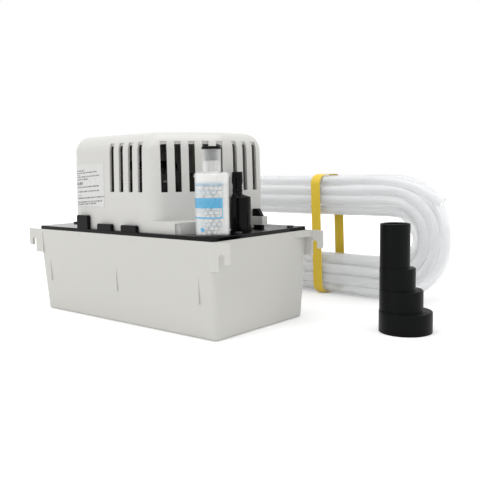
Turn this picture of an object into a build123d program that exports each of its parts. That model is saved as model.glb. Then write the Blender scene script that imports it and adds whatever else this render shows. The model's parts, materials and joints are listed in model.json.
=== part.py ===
"""Tank-type condensate pump kit: pump, treatment canister, stepped adapter and hose hank.

Frame: millimetres, +Z up, origin at the middle of the tank's underside,
+X along the tank towards the discharge end, -Y towards the front long wall.
"""
from build123d import *
import math
import os

# Clearances, and the length of a cutter that goes right through a thin piece
SEAT_GAP = 0.3
RUNNING_GAP = 0.05
SHRINK = 0.02
THROUGH = 60.0

# Tank
TANK_HEIGHT = 98.0
TANK_RIM_LENGTH = 287.0
TANK_LENGTH_TAPER = 8.0
TANK_RIM_WIDTH = 156.8
TANK_WIDTH_TAPER = 13.4
TANK_WALL = 3.0
TANK_FLOOR = 3.5
TANK_CORNER_RADIUS = 4.0
TANK_BOTTOM_ROUNDING = 3.4
TANK_INNER_CORNER_RADIUS = 2.6
TANK_INNER_ROUNDING = 2.0
EAR_LENGTH = 20.9
EAR_DEPTH = 28.0
EAR_THICKNESS = 3.0
EAR_ROOT = 7.0
PRONG_DEPTH = 20.0
PRONG_ROUNDING = 2.5
NOTCH_WIDTH = 7.1
NOTCH_HEIGHT = 17.0
NOTCH_FROM_TIP = 6.6
GUSSET_BASE = 22.0
GUSSET_REACH = 9.0
GUSSET_THICKNESS = 6.0
GUSSET_DROP = 1.2
RIB_PLACES = (-126.0, -3.4, 120.4)
RIB_TOP = 64.0
RIB_BOTTOM = 36.0
RIB_THICKNESS = 1.6

# Deck plate
DECK_THICKNESS = 4.0
DECK_RIM_MARGIN = 0.5
DECK_SIDE_MARGIN = 1.05
DECK_EDGE_ROUNDING = 0.8
SKIRT_DEPTH = 7.0
SKIRT_THICKNESS = 2.0
SKIRT_CLEARANCE = 0.4
SKIRT_CORNER_RADIUS = 3.0
SKIRT_BOSS_GAP = 0.6
SKIRT_WEB_GAP = 4.2
SCREW_SHANK_RADIUS = 1.9
SCREW_HEAD_RADIUS = 3.8
SCREW_HEAD_HEIGHT = 1.8
SCREW_LENGTH = 16.0
SCREW_BOSS_RADIUS = 5.0
SCREW_END_INSET = 9.5
SCREW_FRONT_Y = -30.0
SCREW_REAR_Y = 58.0
SCREW_BOSS_SPARE = 6.0
SCREW_BOSS_WEB = 3.0
GATE_MARK_Y = 31.6
GATE_MARK_RADIUS = 3.6
GATE_MARK_WIDTH = 0.9
GATE_MARK_DEPTH = 0.5
TAB_THICKNESS = 4.4
TAB_EDGE_INSET = 0.9
TAB_ROUNDING = 2.4
TAB_HEIGHT = 6.8
TAB_SPANS = ((-32.4, -9.0), (7.8, 31.8))
TALL_TAB_HEIGHT = 15.2
TALL_TAB_SPAN = (-69.0, -50.0)

# Cover
COVER_LEFT = -89.5
COVER_FRONT = -71.1
COVER_END = 99.4
COVER_BACK = 65.8
COVER_DIAGONAL_ANGLE = 55.0
COVER_DIAGONAL_START = 56.7
COVER_CORNER_RADIUS = 21.5
COVER_HEIGHT = 103.6
COVER_DRAFT = 1.2
COVER_SHOULDER = 18.5
COVER_WALL = 2.5
SLOT_WIDTH = 6.8
SLOT_DEPTH = 3.6
SLOT_BOTTOM = 41.5
SLOT_TOP = 94.0
SLOT_REACH = 8.0
FRONT_SLOTS = 4
FRONT_SLOT_FIRST = -11.5
FRONT_SLOT_PITCH = 15.2
DIAGONAL_SLOTS = 5
DIAGONAL_SLOT_FIRST = 10.9
DIAGONAL_SLOT_PITCH = 14.7
END_SLOTS = 3
END_SLOT_FIRST = 8.6
END_SLOT_PITCH = 16.2
TOE_HEIGHT = 12.0
TOE_END = 88.7
TOE_LENGTH = 40.0
TOE_CORNER_RADIUS = 4.0
TOE_SCALLOP_RADIUS = 3.2
TOE_FLANGE = 1.4
SOCKET_LENGTH = 16.2
SOCKET_Y = 32.0
SOCKET_DEPTH = 9.0
SOCKET_HEIGHT = 12.6
SOCKET_WALL = 1.6
SOCKET_END_WALL = 2.4
SOCKET_UNDERCUT = 3.2
POST_HEIGHT = 20.8
POST_GAP = 0.4
POST_SLANT = 5.6
POST_ROUNDING = 1.2
LABEL_THICKNESS = 0.4
LABEL_LEFT = -77.0
LABEL_RIGHT = -25.4
LABEL_BOTTOM = 25.0
LABEL_TOP = 72.5
CORD_BUSH_X = -40.0
CORD_BUSH_HEIGHT = 17.0
CORD_BUSH_RADIUS = 7.0
CORD_BUSH_FLANGE = 9.5
CORD_BUSH_FLANGE_THICKNESS = 2.0
CORD_BUSH_BORE = 3.6
CORD_BUSH_INSIDE = 6.0
CORD_BUSH_ROUNDING = 0.8

# Deck openings
INLET_X = 113.0
INLET_Y = 22.0
INLET_RADIUS = 9.0
INLET_COLLAR = 10.0
INLET_COLLAR_WALL = 2.5
SPARE_INLET_X = -112.0
SPARE_INLET_Y = 30.0
SPARE_INLET_RADIUS = 15.0
SPARE_COLLAR = 6.0
PLUG_FLANGE_RADIUS = 18.0
PLUG_FLANGE_THICKNESS = 2.0
PLUG_DEPTH = 8.0
PLUG_WALL = 2.4
PLUG_GRIP_LENGTH = 20.0
PLUG_GRIP_WIDTH = 4.0
PLUG_GRIP_HEIGHT = 3.0
PLUG_FLANGE_ROUNDING = 0.8
PLUG_CHAMFER = 1.2

# Motor
MOTOR_X = -10.0
MOTOR_Y = -12.0
SHAFT_RADIUS = 3.0
SHAFT_TOP = 80.0
STATOR_LEFT = 28.0
STATOR_RIGHT = 52.0
STATOR_FRONT = 28.0
STATOR_BACK = 28.0
STATOR_HEIGHT = 26.0
STATOR_BASE = 25.0
STATOR_BORE = 13.6
ROTOR_GAP = 0.6
WINDOW_NEAR = 24.0
WINDOW_LEG = 14.0
WINDOW_LENGTH = 36.0
COIL_OVERHANG = 9.0
BOBBIN_WALL = 1.5
COIL_ROUNDING = 5.0
COIL_END_GAP = 0.1
BOLT_RADIUS = 1.9
BOLT_INSET = 6.0
BOLT_HEAD_RADIUS = 3.6
BOLT_HEAD_HEIGHT = 2.6
STANDOFF_RADIUS = 4.2
BRACKET_THICKNESS = 3.0
BRACKET_WIDTH = 18.0
BEARING_RADIUS = 5.0
BEARING_LENGTH = 9.0
BEARING_HUB_RADIUS = 8.5
FAN_HUB_RADIUS = 8.0
FAN_RADIUS = 29.0
FAN_HEIGHT = 9.0
FAN_BLADES = 6
FAN_BLADE_THICKNESS = 1.2
FAN_PITCH = 35.0
FAN_BASE = 66.0
FAN_HUB_ROUNDING = 1.0
SLINGER_BASE = 4.0
SLINGER_OVERHANG = 3.0
SLINGER_THICKNESS = 1.4
SLINGER_HUB_RADIUS = 5.0
SLINGER_HUB_HEIGHT = 4.0

# Pump
VOLUTE_RADIUS = 33.0
VOLUTE_WALL = 3.0
VOLUTE_BASE = 9.0
VOLUTE_HEIGHT = 18.0
VOLUTE_ROOF = 3.0
COLUMN_RADIUS = 12.0
COLUMN_BORE = 8.0
COLUMN_FLANGE_RADIUS = 23.0
COLUMN_FLANGE = 3.0
COLUMN_SCREW_CIRCLE = 18.0
COLUMN_WINDOW_WIDTH = 9.0
COLUMN_WINDOW_HEIGHT = 30.0
COLUMN_WINDOW_DROP = 8.0
COLUMN_WINDOW_TURNS = (30, 150, 270)
COLUMN_SCREW_TURNS = (90, 210, 330)
COLUMN_SCREW_SPARE = 1.0
STRAINER_THICKNESS = 2.5
STRAINER_EYE = 9.0
STRAINER_FOOT = 2.2
STRAINER_FOOT_RADIUS = 1.5
STRAINER_FOOT_INSET = 6.0
STRAINER_FEET = 12
STRAINER_SCREW_LENGTH = 9.0
STRAINER_SCREW_SPARE = 1.0
LUG_RADIUS = 4.0
LUG_CIRCLE = 35.5
LUG_COUNT = 4
LUG_FIRST_TURN = 45.0
SMALL_SCREW_RADIUS = 1.4
SMALL_HEAD_RADIUS = 2.7
SMALL_HEAD_HEIGHT = 1.6
IMPELLER_RADIUS = 26.0
IMPELLER_DISC = 2.0
IMPELLER_VANE_HEIGHT = 7.0
IMPELLER_VANES = 6
IMPELLER_HUB = 6.0
IMPELLER_LIFT = 2.0
VANE_BEND = 0.8
VANE_THICKNESS = 1.6
OUTLET_RADIUS = 6.5
OUTLET_WALL = 2.0
OUTLET_DROP = 1.0
OUTLET_SPIGOT = 10.0
RISER_RADIUS = 7.0
RISER_BORE = 4.8
RISER_BEND = 20.0
RISER_SLEEVE_LENGTH = 10.0
RISER_SLEEVE_WALL = 2.0
RISER_SLEEVE_LAP = 2.0

# Check valve
VALVE_X = 112.0
VALVE_Y = 0.0
VALVE_RADIUS = 10.9
VALVE_HEIGHT = 35.5
VALVE_FOOT_RADIUS = 11.8
VALVE_FOOT = 1.2
VALVE_BORE = 7.4
VALVE_FLOOR = 5.0
VALVE_PORT = 3.6
VALVE_CHAMFER = 0.6
BALL_RADIUS = 4.7
CAP_THREAD = 10.0
CAP_CONE_HEIGHT = 2.0
CAP_CONE_INSET = 1.0
CAP_SLOT_WIDTH = 2.4
CAP_SLOT_DEPTH = 1.5
NOZZLE_PROFILE = ((6.3, 0.0), (6.3, 0.6), (5.2, 10.6), (4.8, 10.9),
                  (4.8, 11.4), (5.1, 11.6), (5.95, 16.4), (5.05, 24.0))
NOZZLE_BORE = 3.2
NOZZLE_SHIFT_X = -2.3
NOZZLE_SHIFT_Y = -2.1
SEAL_RADIUS = 1.0
SEAL_CLEARANCE = 0.9

# Main float and its switch
PIVOT_X = -20.0
PIVOT_Y = 34.0
PIVOT_DROP = 14.0
PIVOT_PIN_RADIUS = 2.0
PIVOT_BOSS_RADIUS = 6.0
ARM_THICKNESS = 6.0
LUG_THICKNESS = 4.0
LUG_GAP = 0.4
FLOAT_NEAR = 38.0
FLOAT_FAR = 102.0
FLOAT_WIDTH = 44.0
FLOAT_TOP = 30.0
FLOAT_DEPTH = 26.0
FLOAT_ROUNDING = 5.0
FOOT_THICKNESS = 2.0
FOOT_HALF_WIDTH = 9.0
FOOT_MARGIN = 2.0
FOOT_LENGTH = 26.0
FOOT_OFFSET = 15.0
FLOAT_SCREW_LENGTH = 7.0
FLOAT_SCREW_SPARE = 1.0
BRACKET_BASE = 3.0
ROD_OFFSET = 15.0
ROD_RADIUS = 2.0
ROD_GUIDE_RADIUS = 4.5
ROD_GUIDE_HEIGHT = 6.0
PAD_HEIGHT = 5.0
PAD_REACH = 7.0
ARM_END = 3.0
ARM_FOOT_FAR = 24.0
ARM_FOOT_NEAR = 4.0
PIN_SPARE = 1.0
PIN_CHAMFER = 0.4
SWITCH_LEVER_LENGTH = 20.0
SWITCH_LEVER_TAIL = 4.0
SWITCH_LEVER_ANGLE = 15.0
SWITCH_LEVER_THICKNESS = 0.8
SWITCH_LEVER_WIDTH = 5.0
SWITCH_PIVOT_HEIGHT = 23.0
SWITCH_PIN_RADIUS = 0.8
SWITCH_LENGTH = 28.0
SWITCH_WIDTH = 10.0
SWITCH_HEIGHT = 16.0
SWITCH_LIFT = 2.0
SWITCH_EAR = 1.4
SWITCH_BRACKET = 1.5
SWITCH_BRACKET_FOOT = 12.0
SWITCH_OVERHANG = 3.5
SWITCH_ROUNDING = 1.0
SWITCH_EAR_LENGTH = 5.0
SWITCH_EAR_GAP = 0.2
SWITCH_EAR_SPARE = 1.4
SWITCH_EAR_RISE = 0.3
SWITCH_LEVER_BOSS = 1.6
PLUNGER_RADIUS = 1.2
PLUNGER_PLACE = -7.0
RIVET_PLACES = (-4.5, -16.5)
RIVET_DROP = 4.0
RIVET_HOLE_RADIUS = 1.6
RIVET_HEAD_RADIUS = 2.6
RIVET_HEAD_HEIGHT = 1.2
TERMINAL_PLACES = (-4.0, -12.0, -20.0)
TERMINAL_LENGTH = 4.0
TERMINAL_THICKNESS = 0.8
TERMINAL_HEIGHT = 5.0

# Safety float
SAFETY_X = -62.0
SAFETY_Y = -42.0
STEM_RADIUS = 4.0
STEM_LENGTH = 54.0
STEM_FLANGE_RADIUS = 9.0
STEM_FLANGE = 3.0
STEM_ABOVE = 10.0
SAFETY_FLOAT_RADIUS = 14.0
SAFETY_FLOAT_HEIGHT = 24.0
SAFETY_TRAVEL = 15.0
CLIP_RADIUS = 7.0
CLIP_THICKNESS = 1.2
CLIP_SEAT_DEPTH = 0.6
CLIP_MOUTH_INSET = 1.2
CLIP_LIFT = 2.0
STEM_ROUNDING = 1.5
SAFETY_FLOAT_ROUNDING = 2.5
STEM_HOLE_GAP = 0.1
STEM_NUT_ACROSS = 15.0
STEM_NUT_HEIGHT = 5.0

# Treatment canister
CANISTER_X = 124.0
CANISTER_Y = -57.0
CANISTER_RADIUS = 16.6
CANISTER_HEIGHT = 61.5
CANISTER_WALL = 1.2
CANISTER_NECK_RADIUS = 7.8
CANISTER_NECK_HEIGHT = 11.2
CANISTER_ROUNDING = 2.0
NUB_RADIUS = 1.6
NUB_REACH = 1.2
NUB_PLACES = ((40, 58.0), (220, 58.0), (40, 5.0))
BEAD_LEVEL = 50.0
BEAD_ROUNDING = 3.0
CANISTER_LABEL_BOTTOM = 7.0
CANISTER_LABEL_TOP = 53.0
CANISTER_LABEL_THICKNESS = 0.2
CANISTER_LABEL_SPAN = 200.0
CANISTER_LABEL_TURN = -106.0
CAP_RADIUS = 9.4
CAP_WALL = 1.0
CAP_HEIGHT = 21.8
CAP_DISC_THICKNESS = 2.8
CAP_DISC_ROUNDING = 0.5
STOPPER_RADIUS = 7.9
STOPPER_HEIGHT = 10.7
STOPPER_GROOVES = (2.4, 6.6)
STOPPER_GROOVE_WIDTH = 1.2
STOPPER_GROOVE_DEPTH = 0.8

# Stepped rubber adapter
ADAPTER_X = 264.0
ADAPTER_Y = 77.0
ADAPTER_RADII = (27.35, 21.7, 18.0, 15.0)
ADAPTER_HEIGHTS = (27.0, 20.0, 23.0, 40.0)
ADAPTER_SHIFTS = (0.0, 5.65, 9.35, 10.6)
ADAPTER_WALLS = (2.4, 2.6, 2.8, 3.0)
ADAPTER_CEILING = 3.0
ADAPTER_ROUNDING = 1.0
ADAPTER_FLAT_SIDE = 206.0

# Hose hank
HOSE_DIAMETER = 12.7
HANK_LAYERS = 4
HANK_COLUMNS = 3
HOSE_GAP = 0.2
HANK_SLACK = 3.3
HANK_RIGHT = 179.0
HANK_LEFT = -41.0
HANK_Y = 219.9
HANK_HOLE_RADIUS = 26.0
HANK_ROUNDING = 16.0
STRAP_X = 76.0
STRAP_WIDTH = 14.0
STRAP_THICKNESS = 0.8

# Values worked out from the dimensions above
DECK_BOTTOM = TANK_HEIGHT
DECK_TOP = TANK_HEIGHT + DECK_THICKNESS
COVER_TOP = DECK_TOP + COVER_HEIGHT
VOLUTE_TOP = VOLUTE_BASE + VOLUTE_HEIGHT
OUTLET_Z = VOLUTE_BASE + OUTLET_DROP + OUTLET_RADIUS + OUTLET_WALL
OUTLET_OFFSET = VALVE_Y - MOTOR_Y
PIVOT_Z = DECK_BOTTOM - PIVOT_DROP
STATOR_Z = DECK_TOP + STATOR_BASE
ROD_X = PIVOT_X - ROD_OFFSET
HANK_PITCH = HOSE_DIAMETER + HOSE_GAP
HANK_RADIAL = HANK_LAYERS * HANK_PITCH
HANK_OUTER_RADIUS = HANK_HOLE_RADIUS + HANK_RADIAL
HANK_DEPTH = HANK_COLUMNS * HANK_PITCH + HANK_SLACK
HANK_Z = HANK_OUTER_RADIUS + STRAP_THICKNESS + SEAT_GAP
STRAP_ROUNDING = HANK_ROUNDING + SEAT_GAP


def rounded_block(length, width, height, radius, place):
    """A box with rounded vertical edges, its base centred on place."""
    return Pos(*place) * extrude(RectangleRounded(length, width, radius), height)


def rod(radius, height, place):
    """A vertical cylinder standing on place."""
    return Pos(*place) * Cylinder(radius, height, align=(Align.CENTER, Align.CENTER, Align.MIN))


def tube(outer, inner, height, place):
    """A vertical tube standing on place."""
    body = rod(outer, height, place)
    return body - rod(inner, height + 2, (place[0], place[1], place[2] - 1))


def hole(radius, place):
    """A long vertical cutter centred on place."""
    return rod(radius, THROUGH, (place[0], place[1], place[2] - THROUGH / 2))


def cross_rod(radius, length, place):
    """A cylinder along Y, centred on place."""
    return Pos(*place) * Rot(90, 0, 0) * Cylinder(radius, length)


def side_plate(points, thickness, y_middle):
    """A plate in the XZ plane, drawn by points (x, z) and centred on y_middle."""
    outline = make_face(Polyline(*[(x, z) for x, z in points], close=True))
    plate = extrude(Plane.XZ.offset(-y_middle - thickness / 2) * outline, thickness)
    return plate


def tank_half_length(z):
    """Half the tank's outer length at height z."""
    return (TANK_RIM_LENGTH - TANK_LENGTH_TAPER * (1 - z / TANK_HEIGHT)) / 2


def tank_half_width(z):
    """Half the tank's outer width at height z."""
    return (TANK_RIM_WIDTH - TANK_WIDTH_TAPER * (1 - z / TANK_HEIGHT)) / 2


def tank_form(z_low, z_high, inset, corner_radius):
    """The tapered, round-cornered body of the tank between two heights."""
    sections = []
    for z in (z_low, z_high):
        length = 2 * (tank_half_length(z) - inset)
        width = 2 * (tank_half_width(z) - inset)
        sections.append(Pos(0, 0, z) * RectangleRounded(length, width, corner_radius))
    return loft(sections)


def edges_at(shape, z):
    """The shape's edges that lie in the horizontal plane at z."""
    return shape.edges().filter_by_position(Axis.Z, z - 0.01, z + 0.01)


def screw_places():
    """Where the deck is screwed to the tank."""
    x = TANK_RIM_LENGTH / 2 - SCREW_END_INSET
    return [(sx * x, y) for sx in (-1, 1) for y in (SCREW_FRONT_Y, SCREW_REAR_Y)]


def tank_ear(side_x, side_y):
    """One hanging ear: a plate that carries the long wall past the end wall."""
    root = TANK_RIM_LENGTH / 2 - EAR_ROOT
    tip = TANK_RIM_LENGTH / 2 + EAR_LENGTH
    low = TANK_HEIGHT - EAR_DEPTH
    prong_low = TANK_HEIGHT - PRONG_DEPTH
    notch_out = tip - NOTCH_FROM_TIP
    notch_in = notch_out - NOTCH_WIDTH
    y = side_y * (TANK_RIM_WIDTH - EAR_THICKNESS) / 2
    outline = [(root, low), (notch_in, low), (notch_in, prong_low), (tip, prong_low), (tip, TANK_HEIGHT),
               (root, TANK_HEIGHT)]
    plate = side_plate(outline, EAR_THICKNESS, y)
    prong_edges = edges_at(plate, prong_low).filter_by(Axis.Y)
    plate = fillet(prong_edges.sort_by(Axis.X)[-1:], PRONG_ROUNDING)
    notch_middle = (notch_in + notch_out) / 2
    notch_top = low + NOTCH_HEIGHT - NOTCH_WIDTH / 2
    slot = Pos(notch_middle, y, (low + notch_top) / 2 - 1) * Box(
        NOTCH_WIDTH, 3 * EAR_THICKNESS, notch_top - low + 2)
    plate = plate - slot - cross_rod(NOTCH_WIDTH / 2, 3 * EAR_THICKNESS, (notch_middle, y, notch_top))
    gusset_low = TANK_HEIGHT - GUSSET_DROP - GUSSET_THICKNESS
    wall = TANK_RIM_LENGTH / 2 - TANK_WALL / 2
    edge = (TANK_RIM_WIDTH - EAR_THICKNESS) / 2
    web = make_face(Polyline(
        (wall, edge), (wall, edge - GUSSET_BASE), (TANK_RIM_LENGTH / 2, edge - GUSSET_BASE),
        (TANK_RIM_LENGTH / 2 + GUSSET_REACH, edge), close=True))
    web = Pos(0, 0, gusset_low) * extrude(web, GUSSET_THICKNESS)
    if side_y < 0:
        web = mirror(web, Plane.XZ)
    ear = plate + web
    if side_x < 0:
        ear = mirror(ear, Plane.YZ)
    return ear


def tank_rib(x, side):
    """A thin stacking rib: upright outside, so the drafted wall falls away from it."""
    face = tank_half_width(RIB_TOP)
    inside = tank_half_width(RIB_BOTTOM) - TANK_WALL / 2
    depth = face - inside
    middle = side * (face + inside) / 2
    return Pos(x, middle, (RIB_TOP + RIB_BOTTOM) / 2) * Box(RIB_THICKNESS, depth, RIB_TOP - RIB_BOTTOM)


def make_tank():
    """The open water tank with its hanging ears, ribs and screw bosses."""
    shell = tank_form(0, TANK_HEIGHT, 0, TANK_CORNER_RADIUS)
    shell = fillet(edges_at(shell, 0), TANK_BOTTOM_ROUNDING)
    cavity = tank_form(TANK_FLOOR, TANK_HEIGHT + 1, TANK_WALL, TANK_INNER_CORNER_RADIUS)
    cavity = fillet(edges_at(cavity, TANK_FLOOR), TANK_INNER_ROUNDING)
    for side_x in (-1, 1):
        for side_y in (-1, 1):
            shell += tank_ear(side_x, side_y)
    for x in RIB_PLACES:
        for side in (-1, 1):
            shell += tank_rib(x, side)
    shell -= cavity
    boss_height = SCREW_LENGTH + SCREW_BOSS_SPARE
    for x, y in screw_places():
        wall_x = math.copysign(tank_half_length(TANK_HEIGHT - boss_height) - TANK_WALL / 2, x)
        boss = rod(SCREW_BOSS_RADIUS, boss_height, (x, y, TANK_HEIGHT - boss_height))
        web = Pos((x + wall_x) / 2, y, TANK_HEIGHT - boss_height / 2) * Box(
            abs(wall_x - x), SCREW_BOSS_WEB, boss_height)
        shell += boss + web
        shell -= rod(SCREW_SHANK_RADIUS + SEAT_GAP, SCREW_LENGTH, (x, y, TANK_HEIGHT - SCREW_LENGTH + 1))
    return shell


def cover_outline(inset):
    """The cover's plan: a rectangle with its front discharge corner cut by a long diagonal."""
    angle = math.radians(COVER_DIAGONAL_ANGLE)
    slope = math.tan(angle)
    front = COVER_FRONT + inset
    end = COVER_END - inset
    start_x = COVER_DIAGONAL_START - inset * math.sin(angle)
    start_y = COVER_FRONT + inset * math.cos(angle)
    corner_front = (start_x + (front - start_y) / slope, front)
    corner_end = (end, start_y + (end - start_x) * slope)
    outline = make_face(Polyline(
        (COVER_LEFT + inset, front), corner_front, corner_end,
        (end, COVER_BACK - inset), (COVER_LEFT + inset, COVER_BACK - inset), close=True))
    return fillet(outline.vertices(), COVER_CORNER_RADIUS - inset)


def cover_form(inset):
    """The cover's drafted body with its big rounded shoulder, moved inwards by inset."""
    body = Pos(0, 0, DECK_TOP) * extrude(cover_outline(inset), COVER_HEIGHT - inset, taper=COVER_DRAFT)
    return fillet(edges_at(body, COVER_TOP - inset), COVER_SHOULDER - inset)


def slot_cutter(x, y, turn):
    """A cutter for one vent slot in the wall whose face passes through x, y."""
    height = SLOT_TOP - SLOT_BOTTOM
    draft = math.tan(math.radians(COVER_DRAFT)) * (COVER_HEIGHT - COVER_SHOULDER)
    depth = SLOT_DEPTH + draft + SLOT_REACH
    bar = Box(SLOT_WIDTH, depth, height)
    bar = Pos(0, SLOT_DEPTH + draft - depth / 2, DECK_TOP + SLOT_BOTTOM + height / 2) * bar
    return Pos(x, y, 0) * Rot(0, 0, turn) * bar


def vent_slots():
    """All the vent slots of the cover's front, diagonal and end faces."""
    cutters = []
    for i in range(FRONT_SLOTS):
        cutters.append(slot_cutter(FRONT_SLOT_FIRST + i * FRONT_SLOT_PITCH, COVER_FRONT, 0))
    angle = math.radians(COVER_DIAGONAL_ANGLE)
    for i in range(DIAGONAL_SLOTS):
        along = DIAGONAL_SLOT_FIRST + i * DIAGONAL_SLOT_PITCH
        x = COVER_DIAGONAL_START + along * math.cos(angle)
        y = COVER_FRONT + along * math.sin(angle)
        cutters.append(slot_cutter(x, y, COVER_DIAGONAL_ANGLE))
    for i in range(END_SLOTS):
        cutters.append(slot_cutter(COVER_END, END_SLOT_FIRST + i * END_SLOT_PITCH, 90))
    return cutters


def cover_toe():
    """The low foot that stands out in front of the cover's diagonal face."""
    angle = math.radians(COVER_DIAGONAL_ANGLE)
    along = (math.cos(angle), math.sin(angle))
    depth = (TOE_END - COVER_DIAGONAL_START) * along[1] + COVER_WALL
    far = (TOE_END + TOE_LENGTH * along[0], COVER_FRONT + TOE_LENGTH * along[1])
    back = (far[0] - depth * along[1], far[1] + depth * along[0])
    near = COVER_DIAGONAL_START - COVER_CORNER_RADIUS / 2
    outline = make_face(Polyline(
        (near, COVER_FRONT), (TOE_END, COVER_FRONT), far, back,
        (near, COVER_FRONT + 2 * COVER_WALL), close=True))
    corners = outline.vertices().sort_by(Axis.X)
    outline = fillet([corners[-1], corners[-2]], TOE_CORNER_RADIUS)
    toe = Pos(0, 0, DECK_TOP) * extrude(outline, TOE_HEIGHT)
    scallop = rod(TOE_SCALLOP_RADIUS, TOE_HEIGHT - TOE_FLANGE, (TOE_END, COVER_FRONT, DECK_TOP))
    return toe - scallop


def make_cover_lug():
    """The small socket on the end face that locates the cover on the deck's post."""
    root = COVER_END - COVER_WALL
    length = SOCKET_LENGTH + COVER_WALL
    middle_y = SOCKET_Y + SOCKET_DEPTH / 2
    middle_z = DECK_TOP + SOCKET_HEIGHT / 2
    block = Pos(root + length / 2, middle_y, middle_z) * Box(length, SOCKET_DEPTH, SOCKET_HEIGHT)
    inside = SOCKET_LENGTH - SOCKET_END_WALL
    window = Pos(COVER_END + inside / 2, middle_y, middle_z) * Box(
        inside, SOCKET_DEPTH - 2 * SOCKET_WALL, SOCKET_HEIGHT + 2)
    under_left = COVER_END + 2 * SOCKET_WALL
    under_right = COVER_END + 2 * SOCKET_LENGTH
    under = Pos((under_left + under_right) / 2, middle_y, DECK_TOP + SOCKET_UNDERCUT / 2) * Box(
        under_right - under_left, SOCKET_DEPTH + 2, SOCKET_UNDERCUT)
    return block - window - under - cover_form(0)


def make_cover():
    """The motor cover: a thin shell with vent slots and a toe."""
    shell = cover_form(0) + cover_toe()
    hollow = cover_form(COVER_WALL)
    shell -= hollow
    for cutter in vent_slots():
        shell -= cutter
    bush_z = DECK_TOP + CORD_BUSH_HEIGHT
    shell -= cross_rod(CORD_BUSH_RADIUS + SHRINK, 4 * COVER_WALL, (CORD_BUSH_X, COVER_BACK, bush_z))
    return shell


def make_data_label():
    """The bare label skin on the cover's front face, wrapped over the rounded corner."""
    skin = cover_form(-LABEL_THICKNESS) - cover_form(0)
    width = LABEL_RIGHT - LABEL_LEFT
    height = LABEL_TOP - LABEL_BOTTOM
    middle = ((LABEL_LEFT + LABEL_RIGHT) / 2, COVER_FRONT, DECK_TOP + LABEL_BOTTOM + height / 2)
    window = Pos(*middle) * Box(width, 2 * COVER_CORNER_RADIUS, height)
    return skin & window


def cover_back_at(height):
    """Where the cover's drafted back face lies at a height above the deck."""
    return COVER_BACK - height * math.tan(math.radians(COVER_DRAFT))


def make_cord_bush():
    """The rubber bush that takes the supply cord through the cover's back wall."""
    z = DECK_TOP + CORD_BUSH_HEIGHT
    face = cover_back_at(CORD_BUSH_HEIGHT - CORD_BUSH_FLANGE) + SEAT_GAP
    inside = COVER_WALL + CORD_BUSH_INSIDE
    flange = cross_rod(CORD_BUSH_FLANGE, CORD_BUSH_FLANGE_THICKNESS,
                       (CORD_BUSH_X, face + CORD_BUSH_FLANGE_THICKNESS / 2, z))
    neck = cross_rod(CORD_BUSH_RADIUS, inside, (CORD_BUSH_X, face - inside / 2, z))
    bore = cross_rod(CORD_BUSH_BORE, 3 * inside, (CORD_BUSH_X, face, z))
    return fillet((flange + neck).edges().sort_by(Axis.Y)[-1:], CORD_BUSH_ROUNDING) - bore


def deck_tab(span, height):
    """An upright locating tab at the deck's front edge."""
    left, right = span
    front = -(TANK_RIM_WIDTH / 2 - DECK_SIDE_MARGIN) + TAB_EDGE_INSET
    top = DECK_TOP + height
    tab = side_plate([(left, DECK_TOP), (right, DECK_TOP), (right, top), (left, top)],
                     TAB_THICKNESS, front + TAB_THICKNESS / 2)
    return fillet(edges_at(tab, top).filter_by(Axis.Y), TAB_ROUNDING)


def make_deck_tabs():
    """The three tabs at the deck's front edge: a tall one and two low ones."""
    tabs = [deck_tab(span, TAB_HEIGHT) for span in TAB_SPANS]
    return Compound(children=[deck_tab(TALL_TAB_SPAN, TALL_TAB_HEIGHT)] + tabs)


def make_cover_post():
    """The post that stands in the cover's socket, its outer top corner cut on a slant."""
    left = COVER_END + 3 * POST_GAP
    right = COVER_END + SOCKET_LENGTH - SOCKET_END_WALL - POST_GAP
    top = DECK_TOP + POST_HEIGHT
    slant = DECK_TOP + SOCKET_HEIGHT
    outline = [(left, DECK_TOP), (right, DECK_TOP), (right, slant), (right - POST_SLANT, top), (left, top)]
    post = side_plate(outline, SOCKET_DEPTH - 2 * SOCKET_WALL - 2 * POST_GAP, SOCKET_Y + SOCKET_DEPTH / 2)
    return fillet(edges_at(post, top).filter_by(Axis.Y), POST_ROUNDING)


def make_float_bracket():
    """The bracket under the deck whose two lugs carry the float arm's pin."""
    reach = ARM_THICKNESS / 2 + LUG_GAP + LUG_THICKNESS
    bracket = Pos(PIVOT_X, PIVOT_Y, DECK_BOTTOM - BRACKET_BASE / 2) * Box(
        2 * PIVOT_BOSS_RADIUS, 2 * reach, BRACKET_BASE)
    for side in (-1, 1):
        y = PIVOT_Y + side * (reach - LUG_THICKNESS / 2)
        drop = Pos(PIVOT_X, y, (PIVOT_Z + DECK_BOTTOM) / 2) * Box(
            2 * PIVOT_BOSS_RADIUS, LUG_THICKNESS, DECK_BOTTOM - PIVOT_Z)
        bracket += drop + cross_rod(PIVOT_BOSS_RADIUS, LUG_THICKNESS, (PIVOT_X, y, PIVOT_Z))
    return bracket - cross_rod(PIVOT_PIN_RADIUS + SHRINK, THROUGH, (PIVOT_X, PIVOT_Y, PIVOT_Z))


def motor_bolt_places():
    """The four places where bolts hold the stator to the deck."""
    left = MOTOR_X - STATOR_LEFT + BOLT_INSET
    right = MOTOR_X + STATOR_RIGHT - BOLT_INSET
    front = MOTOR_Y - STATOR_FRONT + BOLT_INSET
    back = MOTOR_Y + STATOR_BACK - BOLT_INSET
    return [(x, y) for x in (left, right) for y in (front, back)]


def column_screw_places():
    """The three places where the pump column is screwed under the deck."""
    turns = [math.radians(turn) for turn in COLUMN_SCREW_TURNS]
    return [(MOTOR_X + COLUMN_SCREW_CIRCLE * math.cos(a), MOTOR_Y + COLUMN_SCREW_CIRCLE * math.sin(a))
            for a in turns]


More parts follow.
